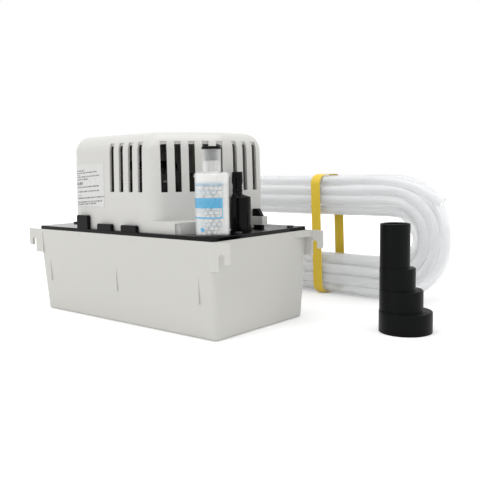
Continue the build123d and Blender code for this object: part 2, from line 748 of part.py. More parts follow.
def make_deck():
    """The deck plate: lid of the tank and base of motor, switches, valve and cover."""
    length = TANK_RIM_LENGTH - 2 * DECK_RIM_MARGIN
    width = TANK_RIM_WIDTH - 2 * DECK_SIDE_MARGIN
    plate = rounded_block(length, width, DECK_THICKNESS, TANK_CORNER_RADIUS, (0, 0, DECK_BOTTOM))
    plate = fillet(edges_at(plate, DECK_TOP), DECK_EDGE_ROUNDING)
    skirt_z = DECK_BOTTOM - SKIRT_DEPTH
    skirt_length = 2 * (tank_half_length(skirt_z) - TANK_WALL - SKIRT_CLEARANCE)
    skirt_width = 2 * (tank_half_width(skirt_z) - TANK_WALL - SKIRT_CLEARANCE)
    skirt = rounded_block(skirt_length, skirt_width, SKIRT_DEPTH, SKIRT_CORNER_RADIUS, (0, 0, skirt_z))
    skirt -= rounded_block(skirt_length - 2 * SKIRT_THICKNESS, skirt_width - 2 * SKIRT_THICKNESS,
                           SKIRT_DEPTH + 2, SKIRT_CORNER_RADIUS - SKIRT_THICKNESS, (0, 0, skirt_z - 1))
    for x, y in screw_places():
        skirt -= rod(SCREW_BOSS_RADIUS + SKIRT_BOSS_GAP, SKIRT_DEPTH + 2, (x, y, skirt_z - 1))
        skirt -= Pos(math.copysign(abs(x) + SCREW_BOSS_RADIUS, x), y, skirt_z) * Box(
            2 * SCREW_BOSS_RADIUS, SKIRT_WEB_GAP, 3 * SKIRT_DEPTH)
    deck = plate + skirt
    collars = ((INLET_X, INLET_Y, INLET_RADIUS, INLET_COLLAR),
               (SPARE_INLET_X, SPARE_INLET_Y, SPARE_INLET_RADIUS, SPARE_COLLAR))
    for x, y, radius, depth in collars:
        deck += rod(radius + INLET_COLLAR_WALL, depth, (x, y, DECK_BOTTOM - depth))
    deck += rod(ROD_GUIDE_RADIUS, DECK_THICKNESS + ROD_GUIDE_HEIGHT, (ROD_X, PIVOT_Y, DECK_BOTTOM))
    holes = [(radius, x, y) for x, y, radius, depth in collars]
    holes.append((ROD_RADIUS + RUNNING_GAP, ROD_X, PIVOT_Y))
    holes.append((BEARING_HUB_RADIUS, MOTOR_X, MOTOR_Y))
    holes.append((RISER_RADIUS + SEAT_GAP / 2, VALVE_X, VALVE_Y))
    holes.append((STEM_RADIUS + STEM_HOLE_GAP, SAFETY_X, SAFETY_Y))
    holes += [(SCREW_SHANK_RADIUS + SHRINK, x, y) for x, y in screw_places()]
    holes += [(BOLT_RADIUS + SHRINK, x, y) for x, y in motor_bolt_places()]
    holes += [(SMALL_SCREW_RADIUS + SHRINK, x, y) for x, y in column_screw_places()]
    for radius, x, y in holes:
        deck -= hole(radius, (x, y, DECK_BOTTOM))
    mark_x = TANK_RIM_LENGTH / 2 - SCREW_END_INSET
    mark = tube(GATE_MARK_RADIUS, GATE_MARK_RADIUS - GATE_MARK_WIDTH, 2 * GATE_MARK_DEPTH,
                (mark_x, GATE_MARK_Y, DECK_TOP - GATE_MARK_DEPTH))
    return deck - mark


def round_screw(shank, head, head_height, length, place, up=True):
    """A screw with a domed head; place is under its head, and the shank points down if up is true."""
    cap = rod(head, head_height, (0, 0, 0))
    cap = fillet(edges_at(cap, head_height), head_height * 0.6)
    drive = Pos(0, 0, head_height) * (Box(head * 1.1, head * 0.28, head_height * 0.8)
                                      + Box(head * 0.28, head * 1.1, head_height * 0.8))
    screw = cap - drive + rod(shank, length, (0, 0, -length))
    if not up:
        screw = Rot(180, 0, 0) * screw
    return Pos(*place) * screw


def make_deck_screws():
    """The four screws that hold the deck down on the tank."""
    return Compound(children=[
        round_screw(SCREW_SHANK_RADIUS, SCREW_HEAD_RADIUS, SCREW_HEAD_HEIGHT, SCREW_LENGTH, (x, y, DECK_TOP))
        for x, y in screw_places()])


def make_volute():
    """The pump column with its flange, drain windows, chamber and outlet spigot."""
    roof = rod(VOLUTE_RADIUS, VOLUTE_HEIGHT, (MOTOR_X, MOTOR_Y, VOLUTE_BASE))
    column = rod(COLUMN_RADIUS, DECK_BOTTOM - VOLUTE_TOP, (MOTOR_X, MOTOR_Y, VOLUTE_TOP))
    flange = rod(COLUMN_FLANGE_RADIUS, COLUMN_FLANGE, (MOTOR_X, MOTOR_Y, DECK_BOTTOM - COLUMN_FLANGE))
    outlet_end = MOTOR_X + LUG_CIRCLE + LUG_RADIUS + OUTLET_SPIGOT
    outlet_length = outlet_end - MOTOR_X
    spigot = Pos(MOTOR_X + outlet_length / 2, VALVE_Y, OUTLET_Z) * Rot(0, 90, 0) * Cylinder(
        OUTLET_RADIUS, outlet_length)
    body = roof + column + flange + spigot
    for x, y in lug_places():
        body += rod(LUG_RADIUS, VOLUTE_HEIGHT, (x, y, VOLUTE_BASE))
    body -= rod(VOLUTE_RADIUS - VOLUTE_WALL, VOLUTE_HEIGHT - VOLUTE_ROOF, (MOTOR_X, MOTOR_Y, VOLUTE_BASE))
    body -= rod(COLUMN_BORE, DECK_BOTTOM, (MOTOR_X, MOTOR_Y, VOLUTE_BASE))
    body -= Pos(MOTOR_X + outlet_length, VALVE_Y, OUTLET_Z) * Rot(0, 90, 0) * Cylinder(
        OUTLET_RADIUS - OUTLET_WALL, 2 * (outlet_length - OUTLET_OFFSET))
    window_z = DECK_BOTTOM - COLUMN_FLANGE - COLUMN_WINDOW_DROP - COLUMN_WINDOW_HEIGHT / 2
    window = Pos(COLUMN_RADIUS, 0, window_z) * Box(
        2 * COLUMN_RADIUS, COLUMN_WINDOW_WIDTH, COLUMN_WINDOW_HEIGHT)
    for turn in COLUMN_WINDOW_TURNS:
        body -= Pos(MOTOR_X, MOTOR_Y, 0) * Rot(0, 0, turn) * window
    for x, y in column_screw_places():
        body -= rod(SMALL_SCREW_RADIUS + SHRINK, COLUMN_FLANGE + 2, (x, y, DECK_BOTTOM - COLUMN_FLANGE - 1))
    screw_hole = STRAINER_SCREW_LENGTH + STRAINER_SCREW_SPARE
    for x, y in lug_places():
        body -= rod(SMALL_SCREW_RADIUS + SHRINK, screw_hole, (x, y, VOLUTE_BASE - 1))
    return body


def lug_places():
    """Where the strainer plate is screwed to the pump chamber."""
    places = []
    for i in range(LUG_COUNT):
        a = math.radians(LUG_FIRST_TURN + i * 360 / LUG_COUNT)
        places.append((MOTOR_X + LUG_CIRCLE * math.cos(a), MOTOR_Y + LUG_CIRCLE * math.sin(a)))
    return places


def make_strainer():
    """The suction plate under the pump chamber, with its eye and small feet."""
    low = VOLUTE_BASE - STRAINER_THICKNESS
    plate = rod(VOLUTE_RADIUS, STRAINER_THICKNESS, (MOTOR_X, MOTOR_Y, low))
    for x, y in lug_places():
        plate += rod(LUG_RADIUS, STRAINER_THICKNESS, (x, y, low))
    plate -= rod(STRAINER_EYE, 3 * STRAINER_THICKNESS, (MOTOR_X, MOTOR_Y, low - STRAINER_THICKNESS))
    circle = VOLUTE_RADIUS - STRAINER_FOOT_INSET
    for i in range(STRAINER_FEET):
        a = math.radians(i * 360 / STRAINER_FEET)
        foot = (MOTOR_X + circle * math.cos(a), MOTOR_Y + circle * math.sin(a), low - STRAINER_FOOT)
        plate += rod(STRAINER_FOOT_RADIUS, STRAINER_FOOT, foot)
    for x, y in lug_places():
        plate -= rod(SMALL_SCREW_RADIUS + SHRINK, 3 * STRAINER_THICKNESS, (x, y, low - STRAINER_THICKNESS))
    return plate


def make_strainer_screws():
    """The screws that hold the strainer plate, driven from below."""
    low = VOLUTE_BASE - STRAINER_THICKNESS
    return Compound(children=[
        round_screw(SMALL_SCREW_RADIUS, SMALL_HEAD_RADIUS, SMALL_HEAD_HEIGHT, STRAINER_SCREW_LENGTH,
                    (x, y, low), up=False)
        for x, y in lug_places()])


def make_column_screws():
    """The screws that hold the pump column's flange under the deck, driven from below."""
    length = COLUMN_FLANGE + DECK_THICKNESS - COLUMN_SCREW_SPARE
    return Compound(children=[
        round_screw(SMALL_SCREW_RADIUS, SMALL_HEAD_RADIUS, SMALL_HEAD_HEIGHT, length,
                    (x, y, DECK_BOTTOM - COLUMN_FLANGE), up=False)
        for x, y in column_screw_places()])


def make_impeller():
    """The open impeller: a disc, a hub and curved vanes."""
    low = VOLUTE_BASE + IMPELLER_LIFT
    disc_z = low + IMPELLER_VANE_HEIGHT
    wheel = rod(IMPELLER_RADIUS, IMPELLER_DISC, (0, 0, disc_z))
    wheel += rod(IMPELLER_HUB, IMPELLER_VANE_HEIGHT, (0, 0, low))
    bend = IMPELLER_RADIUS * VANE_BEND
    ring = tube(bend, bend - VANE_THICKNESS, IMPELLER_VANE_HEIGHT, (bend, 0, low))
    reach = tube(IMPELLER_RADIUS, IMPELLER_HUB - 1, IMPELLER_VANE_HEIGHT, (0, 0, low))
    half = Pos(0, -IMPELLER_RADIUS, low + IMPELLER_VANE_HEIGHT / 2) * Box(
        4 * IMPELLER_RADIUS, 2 * IMPELLER_RADIUS, IMPELLER_VANE_HEIGHT)
    vane = ring & reach & half
    for i in range(IMPELLER_VANES):
        wheel += Rot(0, 0, i * 360 / IMPELLER_VANES) * vane
    wheel -= hole(SHAFT_RADIUS + SHRINK, (0, 0, low))
    return Pos(MOTOR_X, MOTOR_Y, 0) * wheel


def make_shaft():
    """The motor shaft, from the impeller up to the cooling fan."""
    low = VOLUTE_BASE + IMPELLER_LIFT
    shaft = rod(SHAFT_RADIUS, DECK_TOP + SHAFT_TOP - low, (MOTOR_X, MOTOR_Y, low))
    return chamfer(shaft.edges().filter_by(GeomType.CIRCLE), PIN_CHAMFER)


def make_rotor_core():
    """The rotor's laminated core on the shaft."""
    core = tube(STATOR_BORE - ROTOR_GAP, SHAFT_RADIUS + SHRINK, STATOR_HEIGHT, (MOTOR_X, MOTOR_Y, STATOR_Z))
    return core


def make_fan():
    """The cooling fan on the top of the shaft."""
    z = DECK_TOP + FAN_BASE
    hub = rod(FAN_HUB_RADIUS, FAN_HEIGHT, (0, 0, z))
    hub = fillet(edges_at(hub, z + FAN_HEIGHT), FAN_HUB_ROUNDING)
    ring = tube(FAN_RADIUS, FAN_HUB_RADIUS - 1, FAN_HEIGHT, (0, 0, z))
    span = 1.1 * FAN_RADIUS
    blade = Pos(span / 2, 0, z + FAN_HEIGHT / 2) * Rot(FAN_PITCH, 0, 0) * Box(
        span, 3 * FAN_HEIGHT, FAN_BLADE_THICKNESS)
    blade = blade & ring
    fan = hub
    for i in range(FAN_BLADES):
        fan += Rot(0, 0, i * 360 / FAN_BLADES) * blade
    fan -= hole(SHAFT_RADIUS + SHRINK, (0, 0, z))
    return Pos(MOTOR_X, MOTOR_Y, 0) * fan


def make_bracket(z, hub_up):
    """A bearing bracket: a strip across the stator with a hub for its bearing."""
    left = MOTOR_X - STATOR_LEFT
    front = MOTOR_Y - STATOR_FRONT
    back = MOTOR_Y + STATOR_BACK
    near = left + 2 * BOLT_INSET
    strip = Pos((left + near) / 2, MOTOR_Y, z + BRACKET_THICKNESS / 2) * Box(
        near - left, back - front, BRACKET_THICKNESS)
    arm_right = MOTOR_X + STATOR_BORE
    arm = Pos((left + arm_right) / 2, MOTOR_Y, z + BRACKET_THICKNESS / 2) * Box(
        arm_right - left, BRACKET_WIDTH, BRACKET_THICKNESS)
    bracket = strip + arm
    hub_z = z if hub_up else z + BRACKET_THICKNESS - BEARING_LENGTH
    bracket += rod(BEARING_HUB_RADIUS, BEARING_LENGTH, (MOTOR_X, MOTOR_Y, hub_z))
    bracket -= hole(BEARING_RADIUS + SHRINK, (MOTOR_X, MOTOR_Y, z))
    for x, y in motor_bolt_places():
        if x < MOTOR_X:
            bracket -= hole(BOLT_RADIUS + SHRINK, (x, y, z))
    return bracket


def make_lower_bracket():
    """The bearing bracket below the stator."""
    return make_bracket(STATOR_Z - BRACKET_THICKNESS, hub_up=False)


def make_upper_bracket():
    """The bearing bracket above the stator."""
    return make_bracket(STATOR_Z + STATOR_HEIGHT, hub_up=True)


def make_lower_bearing():
    """The sleeve bearing in the lower bracket."""
    z = STATOR_Z - BEARING_LENGTH
    return tube(BEARING_RADIUS, SHAFT_RADIUS + RUNNING_GAP, BEARING_LENGTH, (MOTOR_X, MOTOR_Y, z))


def make_upper_bearing():
    """The sleeve bearing in the upper bracket."""
    z = STATOR_Z + STATOR_HEIGHT
    return tube(BEARING_RADIUS, SHAFT_RADIUS + RUNNING_GAP, BEARING_LENGTH, (MOTOR_X, MOTOR_Y, z))


def make_stator():
    """The laminated stator: a rotor bore on one side, a window for the coil on the other."""
    left = MOTOR_X - STATOR_LEFT
    right = MOTOR_X + STATOR_RIGHT
    block = Pos((left + right) / 2, MOTOR_Y, STATOR_Z + STATOR_HEIGHT / 2) * Box(
        right - left, STATOR_FRONT + STATOR_BACK, STATOR_HEIGHT)
    block -= rod(STATOR_BORE, STATOR_HEIGHT + 2, (MOTOR_X, MOTOR_Y, STATOR_Z - 1))
    window_right = right - WINDOW_LEG
    window_left = MOTOR_X + WINDOW_NEAR
    block -= Pos((window_left + window_right) / 2, MOTOR_Y, STATOR_Z + STATOR_HEIGHT / 2) * Box(
        window_right - window_left, WINDOW_LENGTH, STATOR_HEIGHT + 2)
    for x, y in motor_bolt_places():
        block -= rod(BOLT_RADIUS + SHRINK, STATOR_HEIGHT + 2, (x, y, STATOR_Z - 1))
    return block


def coil_box(margin, length):
    """A box round the stator's outer leg, grown by margin on its four sides."""
    right = MOTOR_X + STATOR_RIGHT
    left = right - WINDOW_LEG
    return Pos((left + right) / 2, MOTOR_Y, STATOR_Z + STATOR_HEIGHT / 2) * Box(
        right - left + 2 * margin, length, STATOR_HEIGHT + 2 * margin)


def make_bobbin():
    """The coil former on the stator's outer leg: a sleeve with two end flanges."""
    length = WINDOW_LENGTH - 2 * SEAT_GAP
    sleeve = coil_box(SEAT_GAP + BOBBIN_WALL, length)
    flange = coil_box(COIL_OVERHANG + BOBBIN_WALL - 1, BOBBIN_WALL)
    side = (length - BOBBIN_WALL) / 2
    former = sleeve + Pos(0, side, 0) * flange + Pos(0, -side, 0) * flange
    return former - coil_box(SEAT_GAP, length + 2)


def make_winding():
    """The taped winding on the bobbin."""
    length = WINDOW_LENGTH - 2 * SEAT_GAP - 2 * BOBBIN_WALL - 2 * COIL_END_GAP
    coil = coil_box(COIL_OVERHANG - 1, length)
    coil = fillet(coil.edges().filter_by(Axis.Y), COIL_ROUNDING)
    return coil - coil_box(SEAT_GAP + BOBBIN_WALL + SHRINK, length + 2)


def make_standoffs():
    """The tubes that hold the motor above the deck."""
    posts = []
    for x, y in motor_bolt_places():
        under_bracket = x < MOTOR_X
        height = STATOR_BASE - (BRACKET_THICKNESS if under_bracket else 0)
        posts.append(tube(STANDOFF_RADIUS, BOLT_RADIUS + SHRINK, height, (x, y, DECK_TOP)))
    return Compound(children=posts)


def make_motor_bolts():
    """The long bolts through the stator, the standoffs and the deck."""
    bolts = []
    for x, y in motor_bolt_places():
        on_bracket = x < MOTOR_X
        top = STATOR_Z + STATOR_HEIGHT + (BRACKET_THICKNESS if on_bracket else 0)
        length = top - DECK_BOTTOM + 0.5
        bolts.append(round_screw(BOLT_RADIUS, BOLT_HEAD_RADIUS, BOLT_HEAD_HEIGHT, length, (x, y, top)))
    return Compound(children=bolts)


def make_slinger():
    """The rubber seal disc on the shaft, just above the deck."""
    place = (MOTOR_X, MOTOR_Y, DECK_TOP + SLINGER_BASE)
    disc = rod(BEARING_HUB_RADIUS + SLINGER_OVERHANG, SLINGER_THICKNESS, place)
    disc += rod(SLINGER_HUB_RADIUS, SLINGER_HUB_HEIGHT, place)
    return disc - hole(SHAFT_RADIUS + SHRINK, place)


def make_riser():
    """The discharge pipe from the pump's spigot up through the deck to the check valve."""
    start = MOTOR_X + LUG_CIRCLE + LUG_RADIUS + OUTLET_SPIGOT + SEAT_GAP
    path = FilletPolyline((start, VALVE_Y, OUTLET_Z), (VALVE_X, VALVE_Y, OUTLET_Z),
                          (VALVE_X, VALVE_Y, DECK_TOP - SEAT_GAP), radius=RISER_BEND)
    ends = Plane(origin=(start, VALVE_Y, OUTLET_Z), z_dir=(1, 0, 0))
    pipe = sweep(ends * Circle(RISER_RADIUS), path=path) - sweep(ends * Circle(RISER_BORE), path=path)
    half = RISER_SLEEVE_LENGTH / 2
    sleeve = Pos(start - half + RISER_SLEEVE_LAP, VALVE_Y, OUTLET_Z) * Rot(0, 90, 0) * Cylinder(
        OUTLET_RADIUS + RISER_SLEEVE_WALL, RISER_SLEEVE_LENGTH)
    sleeve -= Pos(start - half - SEAT_GAP, VALVE_Y, OUTLET_Z) * Rot(0, 90, 0) * Cylinder(
        OUTLET_RADIUS + RUNNING_GAP, RISER_SLEEVE_LENGTH)
    sleeve -= Pos(start, VALVE_Y, OUTLET_Z) * Rot(0, 90, 0) * Cylinder(RISER_BORE, 3 * RISER_SLEEVE_LENGTH)
    return pipe + sleeve


def make_valve_body():
    """The check valve's body with its ball seat."""
    body = rod(VALVE_RADIUS, VALVE_HEIGHT, (VALVE_X, VALVE_Y, DECK_TOP))
    body = chamfer(edges_at(body, DECK_TOP + VALVE_HEIGHT), VALVE_CHAMFER)
    body += rod(VALVE_FOOT_RADIUS, VALVE_FOOT, (VALVE_X, VALVE_Y, DECK_TOP))
    body -= rod(VALVE_PORT, VALVE_HEIGHT, (VALVE_X, VALVE_Y, DECK_TOP - 1))
    body -= rod(VALVE_BORE, VALVE_HEIGHT, (VALVE_X, VALVE_Y, DECK_TOP + VALVE_FLOOR))
    groove = Pos(VALVE_X, VALVE_Y, DECK_TOP) * Torus(RISER_RADIUS + SEAL_CLEARANCE, SEAL_RADIUS + SHRINK)
    return body - groove


def make_valve_seal():
    """The O-ring between the check valve and the riser."""
    ring = Pos(VALVE_X, VALVE_Y, DECK_TOP) * Torus(RISER_RADIUS + SEAL_CLEARANCE, SEAL_RADIUS)
    upper = Pos(VALVE_X, VALVE_Y, DECK_TOP + SEAL_RADIUS) * Box(
        4 * RISER_RADIUS, 4 * RISER_RADIUS, 2 * SEAL_RADIUS)
    return ring & upper


def make_barb_nozzle():
    """The valve's screwed top: a plug with a ball stop, a cone and the barbed hose nozzle."""
    seat = DECK_TOP + VALVE_HEIGHT
    thread = rod(VALVE_BORE - SHRINK, CAP_THREAD, (VALVE_X, VALVE_Y, seat - CAP_THREAD))
    nozzle_x = VALVE_X + NOZZLE_SHIFT_X
    nozzle_y = VALVE_Y + NOZZLE_SHIFT_Y
    base = seat + CAP_CONE_HEIGHT
    low = Pos(VALVE_X, VALVE_Y, seat) * Circle(VALVE_RADIUS - CAP_CONE_INSET)
    high = Pos(nozzle_x, nozzle_y, base) * Circle(NOZZLE_PROFILE[0][0])
    outline = [(0, 0), *NOZZLE_PROFILE, (0, NOZZLE_PROFILE[-1][1])]
    half_section = make_face(Plane.XZ * Polyline(*outline, close=True))
    barbs = Pos(nozzle_x, nozzle_y, base) * revolve(half_section, Axis.Z)
    body = thread + loft([low, high]) + barbs
    body -= rod(NOZZLE_BORE, THROUGH, (nozzle_x, nozzle_y, seat - CAP_CONE_HEIGHT))
    body -= rod(VALVE_PORT, CAP_THREAD, (VALVE_X, VALVE_Y, seat - CAP_THREAD - 1))
    slot = Pos(VALVE_X, VALVE_Y, seat - CAP_THREAD) * Box(3 * VALVE_BORE, CAP_SLOT_WIDTH, 2 * CAP_SLOT_DEPTH)
    return body - slot


def make_valve_ball():
    """The check ball, resting just above its seat."""
    depth = math.sqrt(BALL_RADIUS ** 2 - VALVE_PORT ** 2)
    return Pos(VALVE_X, VALVE_Y, DECK_TOP + VALVE_FLOOR + depth + SEAT_GAP) * Sphere(BALL_RADIUS)


def make_float_arm():
    """The float's arm: pivot boss, push pad, bent strut and foot plate."""
    foot_low = -FLOAT_TOP
    foot_level = foot_low + FOOT_THICKNESS / 2
    foot_far = -FLOAT_NEAR - ARM_FOOT_FAR
    foot_near = -FLOAT_NEAR - ARM_FOOT_NEAR
    points = [(ARM_END, PAD_HEIGHT), (-ROD_OFFSET - PAD_REACH, PAD_HEIGHT),
              (foot_far, foot_level + FOOT_THICKNESS), (foot_far, foot_level), (foot_near, foot_level),
              (-ROD_OFFSET - 1, -PAD_HEIGHT), (ARM_END, -PAD_HEIGHT)]
    arm = side_plate([(PIVOT_X + x, PIVOT_Z + z) for x, z in points], ARM_THICKNESS, PIVOT_Y)
    arm += cross_rod(PIVOT_BOSS_RADIUS, ARM_THICKNESS, (PIVOT_X, PIVOT_Y, PIVOT_Z))
    arm += Pos(PIVOT_X - FLOAT_NEAR - FOOT_OFFSET, PIVOT_Y, PIVOT_Z + foot_level) * Box(
        FOOT_LENGTH, 2 * (FOOT_HALF_WIDTH + FOOT_MARGIN), FOOT_THICKNESS)
    arm -= cross_rod(PIVOT_PIN_RADIUS + RUNNING_GAP, 3 * ARM_THICKNESS, (PIVOT_X, PIVOT_Y, PIVOT_Z))
    for x, y in float_screw_places():
        arm -= hole(SMALL_SCREW_RADIUS + SHRINK, (x, y, PIVOT_Z + foot_low))
    return arm


def float_screw_places():
    """The two places where the arm's foot is screwed to the float."""
    x = PIVOT_X - FLOAT_NEAR - FOOT_OFFSET
    return [(x, PIVOT_Y + side * (FOOT_HALF_WIDTH - FOOT_MARGIN)) for side in (-1, 1)]


def make_main_float():
    """The closed float that rises with the water."""
    length = FLOAT_FAR - FLOAT_NEAR
    x = PIVOT_X - (FLOAT_FAR + FLOAT_NEAR) / 2
    low = PIVOT_Z - FLOAT_TOP - FLOAT_DEPTH
    body = rounded_block(length, FLOAT_WIDTH, FLOAT_DEPTH, FLOAT_ROUNDING, (x, PIVOT_Y, low))
    body = fillet(edges_at(body, low) + edges_at(body, low + FLOAT_DEPTH), FLOAT_ROUNDING / 2)
    for sx, sy in float_screw_places():
        depth = FLOAT_SCREW_LENGTH + FLOAT_SCREW_SPARE
        body -= rod(SMALL_SCREW_RADIUS + SHRINK, depth + 1, (sx, sy, low + FLOAT_DEPTH - depth))
    return body


def make_float_screws():
    """The screws that hold the float to its arm."""
    return Compound(children=[
        round_screw(SMALL_SCREW_RADIUS, SMALL_HEAD_RADIUS, SMALL_HEAD_HEIGHT, FLOAT_SCREW_LENGTH,
                    (x, y, PIVOT_Z - FLOAT_TOP + FOOT_THICKNESS)) for x, y in float_screw_places()])


def make_float_pin():
    """The pin on which the float arm turns."""
    length = ARM_THICKNESS + 2 * LUG_GAP + 2 * LUG_THICKNESS + PIN_SPARE
    pin = cross_rod(PIVOT_PIN_RADIUS, length, (PIVOT_X, PIVOT_Y, PIVOT_Z))
    return chamfer(pin.edges().filter_by(GeomType.CIRCLE), PIN_CHAMFER)


def lever_underside():
    """How high the switch lever's underside lies over the push rod."""
    tilt = math.radians(SWITCH_LEVER_ANGLE)
    pivot_z = DECK_TOP + SWITCH_PIVOT_HEIGHT
    return pivot_z - SWITCH_LEVER_LENGTH * math.tan(tilt) - SWITCH_LEVER_THICKNESS / 2 / math.cos(tilt)


def make_push_rod():
    """The rod that carries the float arm's movement up to the switch lever."""
    low = PIVOT_Z + PAD_HEIGHT + SEAT_GAP
    high = lever_underside() - SEAT_GAP
    stem = rod(ROD_RADIUS, high - low, (ROD_X, PIVOT_Y, low))
    ends = edges_at(stem, low) + edges_at(stem, high)
    return fillet(ends, ROD_RADIUS * 0.9)


def switch_pivot():
    """The switch lever's pivot, at the push rod's far side."""
    return (ROD_X + SWITCH_LEVER_LENGTH, PIVOT_Y, DECK_TOP + SWITCH_PIVOT_HEIGHT)


def make_switch_lever():
    """The thin lever under the run switch."""
    x, y, z = switch_pivot()
    length = SWITCH_LEVER_LENGTH + SWITCH_LEVER_TAIL
    blade = Pos(-length / 2, 0, 0) * Box(length, SWITCH_LEVER_WIDTH, SWITCH_LEVER_THICKNESS)
    lever = blade + Rot(90, 0, 0) * Cylinder(SWITCH_LEVER_BOSS, SWITCH_LEVER_WIDTH)
    lever = Rot(0, -SWITCH_LEVER_ANGLE, 0) * lever
    lever -= Rot(90, 0, 0) * Cylinder(SWITCH_PIN_RADIUS + RUNNING_GAP, 2 * SWITCH_LEVER_WIDTH)
    return Pos(x, y, z) * lever


def rivet_places():
    """The centres of the run switch's two rivets."""
    x, y, z = switch_pivot()
    level = z + SWITCH_LIFT + SWITCH_HEIGHT - RIVET_DROP
    return [(x + place, y, level) for place in RIVET_PLACES]


def make_run_switch():
    """The run switch: case, plunger, terminals and the two ears that hold its lever."""
    x, y, z = switch_pivot()
    case_low = z + SWITCH_LIFT
    case = Pos(x + SWITCH_OVERHANG - SWITCH_LENGTH / 2, y, case_low + SWITCH_HEIGHT / 2) * Box(
        SWITCH_LENGTH, SWITCH_WIDTH, SWITCH_HEIGHT)
    case = fillet(case.edges().filter_by(Axis.Y), SWITCH_ROUNDING)
    for side in (-1, 1):
        ear_y = y + side * (SWITCH_LEVER_WIDTH / 2 + SWITCH_EAR_GAP + SWITCH_EAR / 2)
        case += Pos(x, ear_y, z + SWITCH_EAR_RISE) * Box(
            SWITCH_EAR_LENGTH, SWITCH_EAR, 2 * SWITCH_LIFT + SWITCH_EAR_SPARE)
    case += rod(PLUNGER_RADIUS, SWITCH_LIFT, (x + PLUNGER_PLACE, y, case_low - PLUNGER_RADIUS))
    for place in rivet_places():
        case -= cross_rod(RIVET_HOLE_RADIUS, 2 * SWITCH_WIDTH, place)
    for place in TERMINAL_PLACES:
        case += Pos(x + place, y, case_low + SWITCH_HEIGHT + TERMINAL_HEIGHT / 2) * Box(
            TERMINAL_LENGTH, TERMINAL_THICKNESS, TERMINAL_HEIGHT)
    return case - cross_rod(SWITCH_PIN_RADIUS + SHRINK, 2 * SWITCH_WIDTH, (x, y, z))


def make_switch_bracket():
    """The bent plate that holds the run switch above the deck."""
    x, y, z = switch_pivot()
    plate_y = y + SWITCH_WIDTH / 2 + SHRINK + SWITCH_BRACKET / 2
    height = SWITCH_PIVOT_HEIGHT + SWITCH_LIFT + SWITCH_HEIGHT
    middle = x + SWITCH_OVERHANG - SWITCH_LENGTH / 2
    plate = Pos(middle, plate_y, DECK_TOP + height / 2) * Box(SWITCH_LENGTH, SWITCH_BRACKET, height)
    foot = Pos(middle, plate_y + SWITCH_BRACKET_FOOT / 2, DECK_TOP + SWITCH_BRACKET / 2) * Box(
        SWITCH_LENGTH, SWITCH_BRACKET_FOOT, SWITCH_BRACKET)
    bracket = plate + foot
    for place in rivet_places():
        bracket -= cross_rod(RIVET_HOLE_RADIUS, THROUGH, place)
    return bracket


def make_switch_rivets():
    """The rivets that hold the run switch to its bracket."""
    grip = SWITCH_WIDTH + SWITCH_BRACKET + SHRINK
    rivets = []
    for x, y, z in rivet_places():
        middle = y + (SWITCH_BRACKET + SHRINK) / 2
        body = cross_rod(RIVET_HOLE_RADIUS - SHRINK, grip + 2 * RIVET_HEAD_HEIGHT, (x, middle, z))
        for side in (-1, 1):
            head_y = middle + side * (grip + RIVET_HEAD_HEIGHT) / 2
            body += cross_rod(RIVET_HEAD_RADIUS, RIVET_HEAD_HEIGHT, (x, head_y, z))
        rivets.append(body)
    return Compound(children=rivets)


def make_switch_pin():
    """The pin of the switch lever."""
    x, y, z = switch_pivot()
    return cross_rod(SWITCH_PIN_RADIUS, SWITCH_LEVER_WIDTH + 2 * SWITCH_EAR + PIN_SPARE, (x, y, z))


def safety_levels():
    """The heights of the safety float's lower clip, float and upper clip."""
    low_clip = DECK_BOTTOM - STEM_LENGTH + CLIP_LIFT
    float_low = low_clip + CLIP_THICKNESS + SEAT_GAP
    high_clip = float_low + SAFETY_FLOAT_HEIGHT + SAFETY_TRAVEL + SEAT_GAP
    return low_clip, float_low, high_clip


def make_safety_stem():
    """The tubular stem of the overflow switch, with its flange under the deck."""
    low = DECK_BOTTOM - STEM_LENGTH
    stem = rod(STEM_RADIUS, STEM_LENGTH + DECK_THICKNESS + STEM_ABOVE, (SAFETY_X, SAFETY_Y, low))
    stem = fillet(edges_at(stem, low), STEM_ROUNDING)
    stem += rod(STEM_FLANGE_RADIUS, STEM_FLANGE, (SAFETY_X, SAFETY_Y, DECK_BOTTOM - STEM_FLANGE))
    groove = tube(STEM_RADIUS + 1, STEM_RADIUS - CLIP_SEAT_DEPTH, CLIP_THICKNESS + SHRINK,
                  (SAFETY_X, SAFETY_Y, 0))
    low_clip, float_low, high_clip = safety_levels()
    for z in (low_clip, high_clip):
        stem -= Pos(0, 0, z) * groove
    return stem


def make_safety_clips():
    """The two spring clips that bound the safety float's travel."""
    low_clip, float_low, high_clip = safety_levels()
    inner = STEM_RADIUS - CLIP_SEAT_DEPTH + SHRINK
    clips = []
    for z in (low_clip, high_clip):
        ring = tube(CLIP_RADIUS, inner, CLIP_THICKNESS, (SAFETY_X, SAFETY_Y, z))
        mouth = Pos(SAFETY_X - CLIP_RADIUS, SAFETY_Y, z) * Box(
            2 * CLIP_RADIUS, 2 * (STEM_RADIUS - CLIP_MOUTH_INSET), 4 * CLIP_THICKNESS)
        clips.append(ring - mouth)
    return Compound(children=clips)


def make_safety_float():
    """The ring float of the overflow switch."""
    low_clip, float_low, high_clip = safety_levels()
    body = rod(SAFETY_FLOAT_RADIUS, SAFETY_FLOAT_HEIGHT, (SAFETY_X, SAFETY_Y, float_low))
    rims = edges_at(body, float_low) + edges_at(body, float_low + SAFETY_FLOAT_HEIGHT)
    return fillet(rims, SAFETY_FLOAT_ROUNDING) - hole(STEM_RADIUS + SEAT_GAP, (SAFETY_X, SAFETY_Y, float_low))


def make_safety_nut():
    """The hexagon nut that clamps the stem to the deck."""
    nut = extrude(RegularPolygon(STEM_NUT_ACROSS / 2, 6, major_radius=False), STEM_NUT_HEIGHT)
    place = (SAFETY_X, SAFETY_Y, DECK_TOP)
    return Pos(*place) * nut - hole(STEM_RADIUS + SHRINK, place)


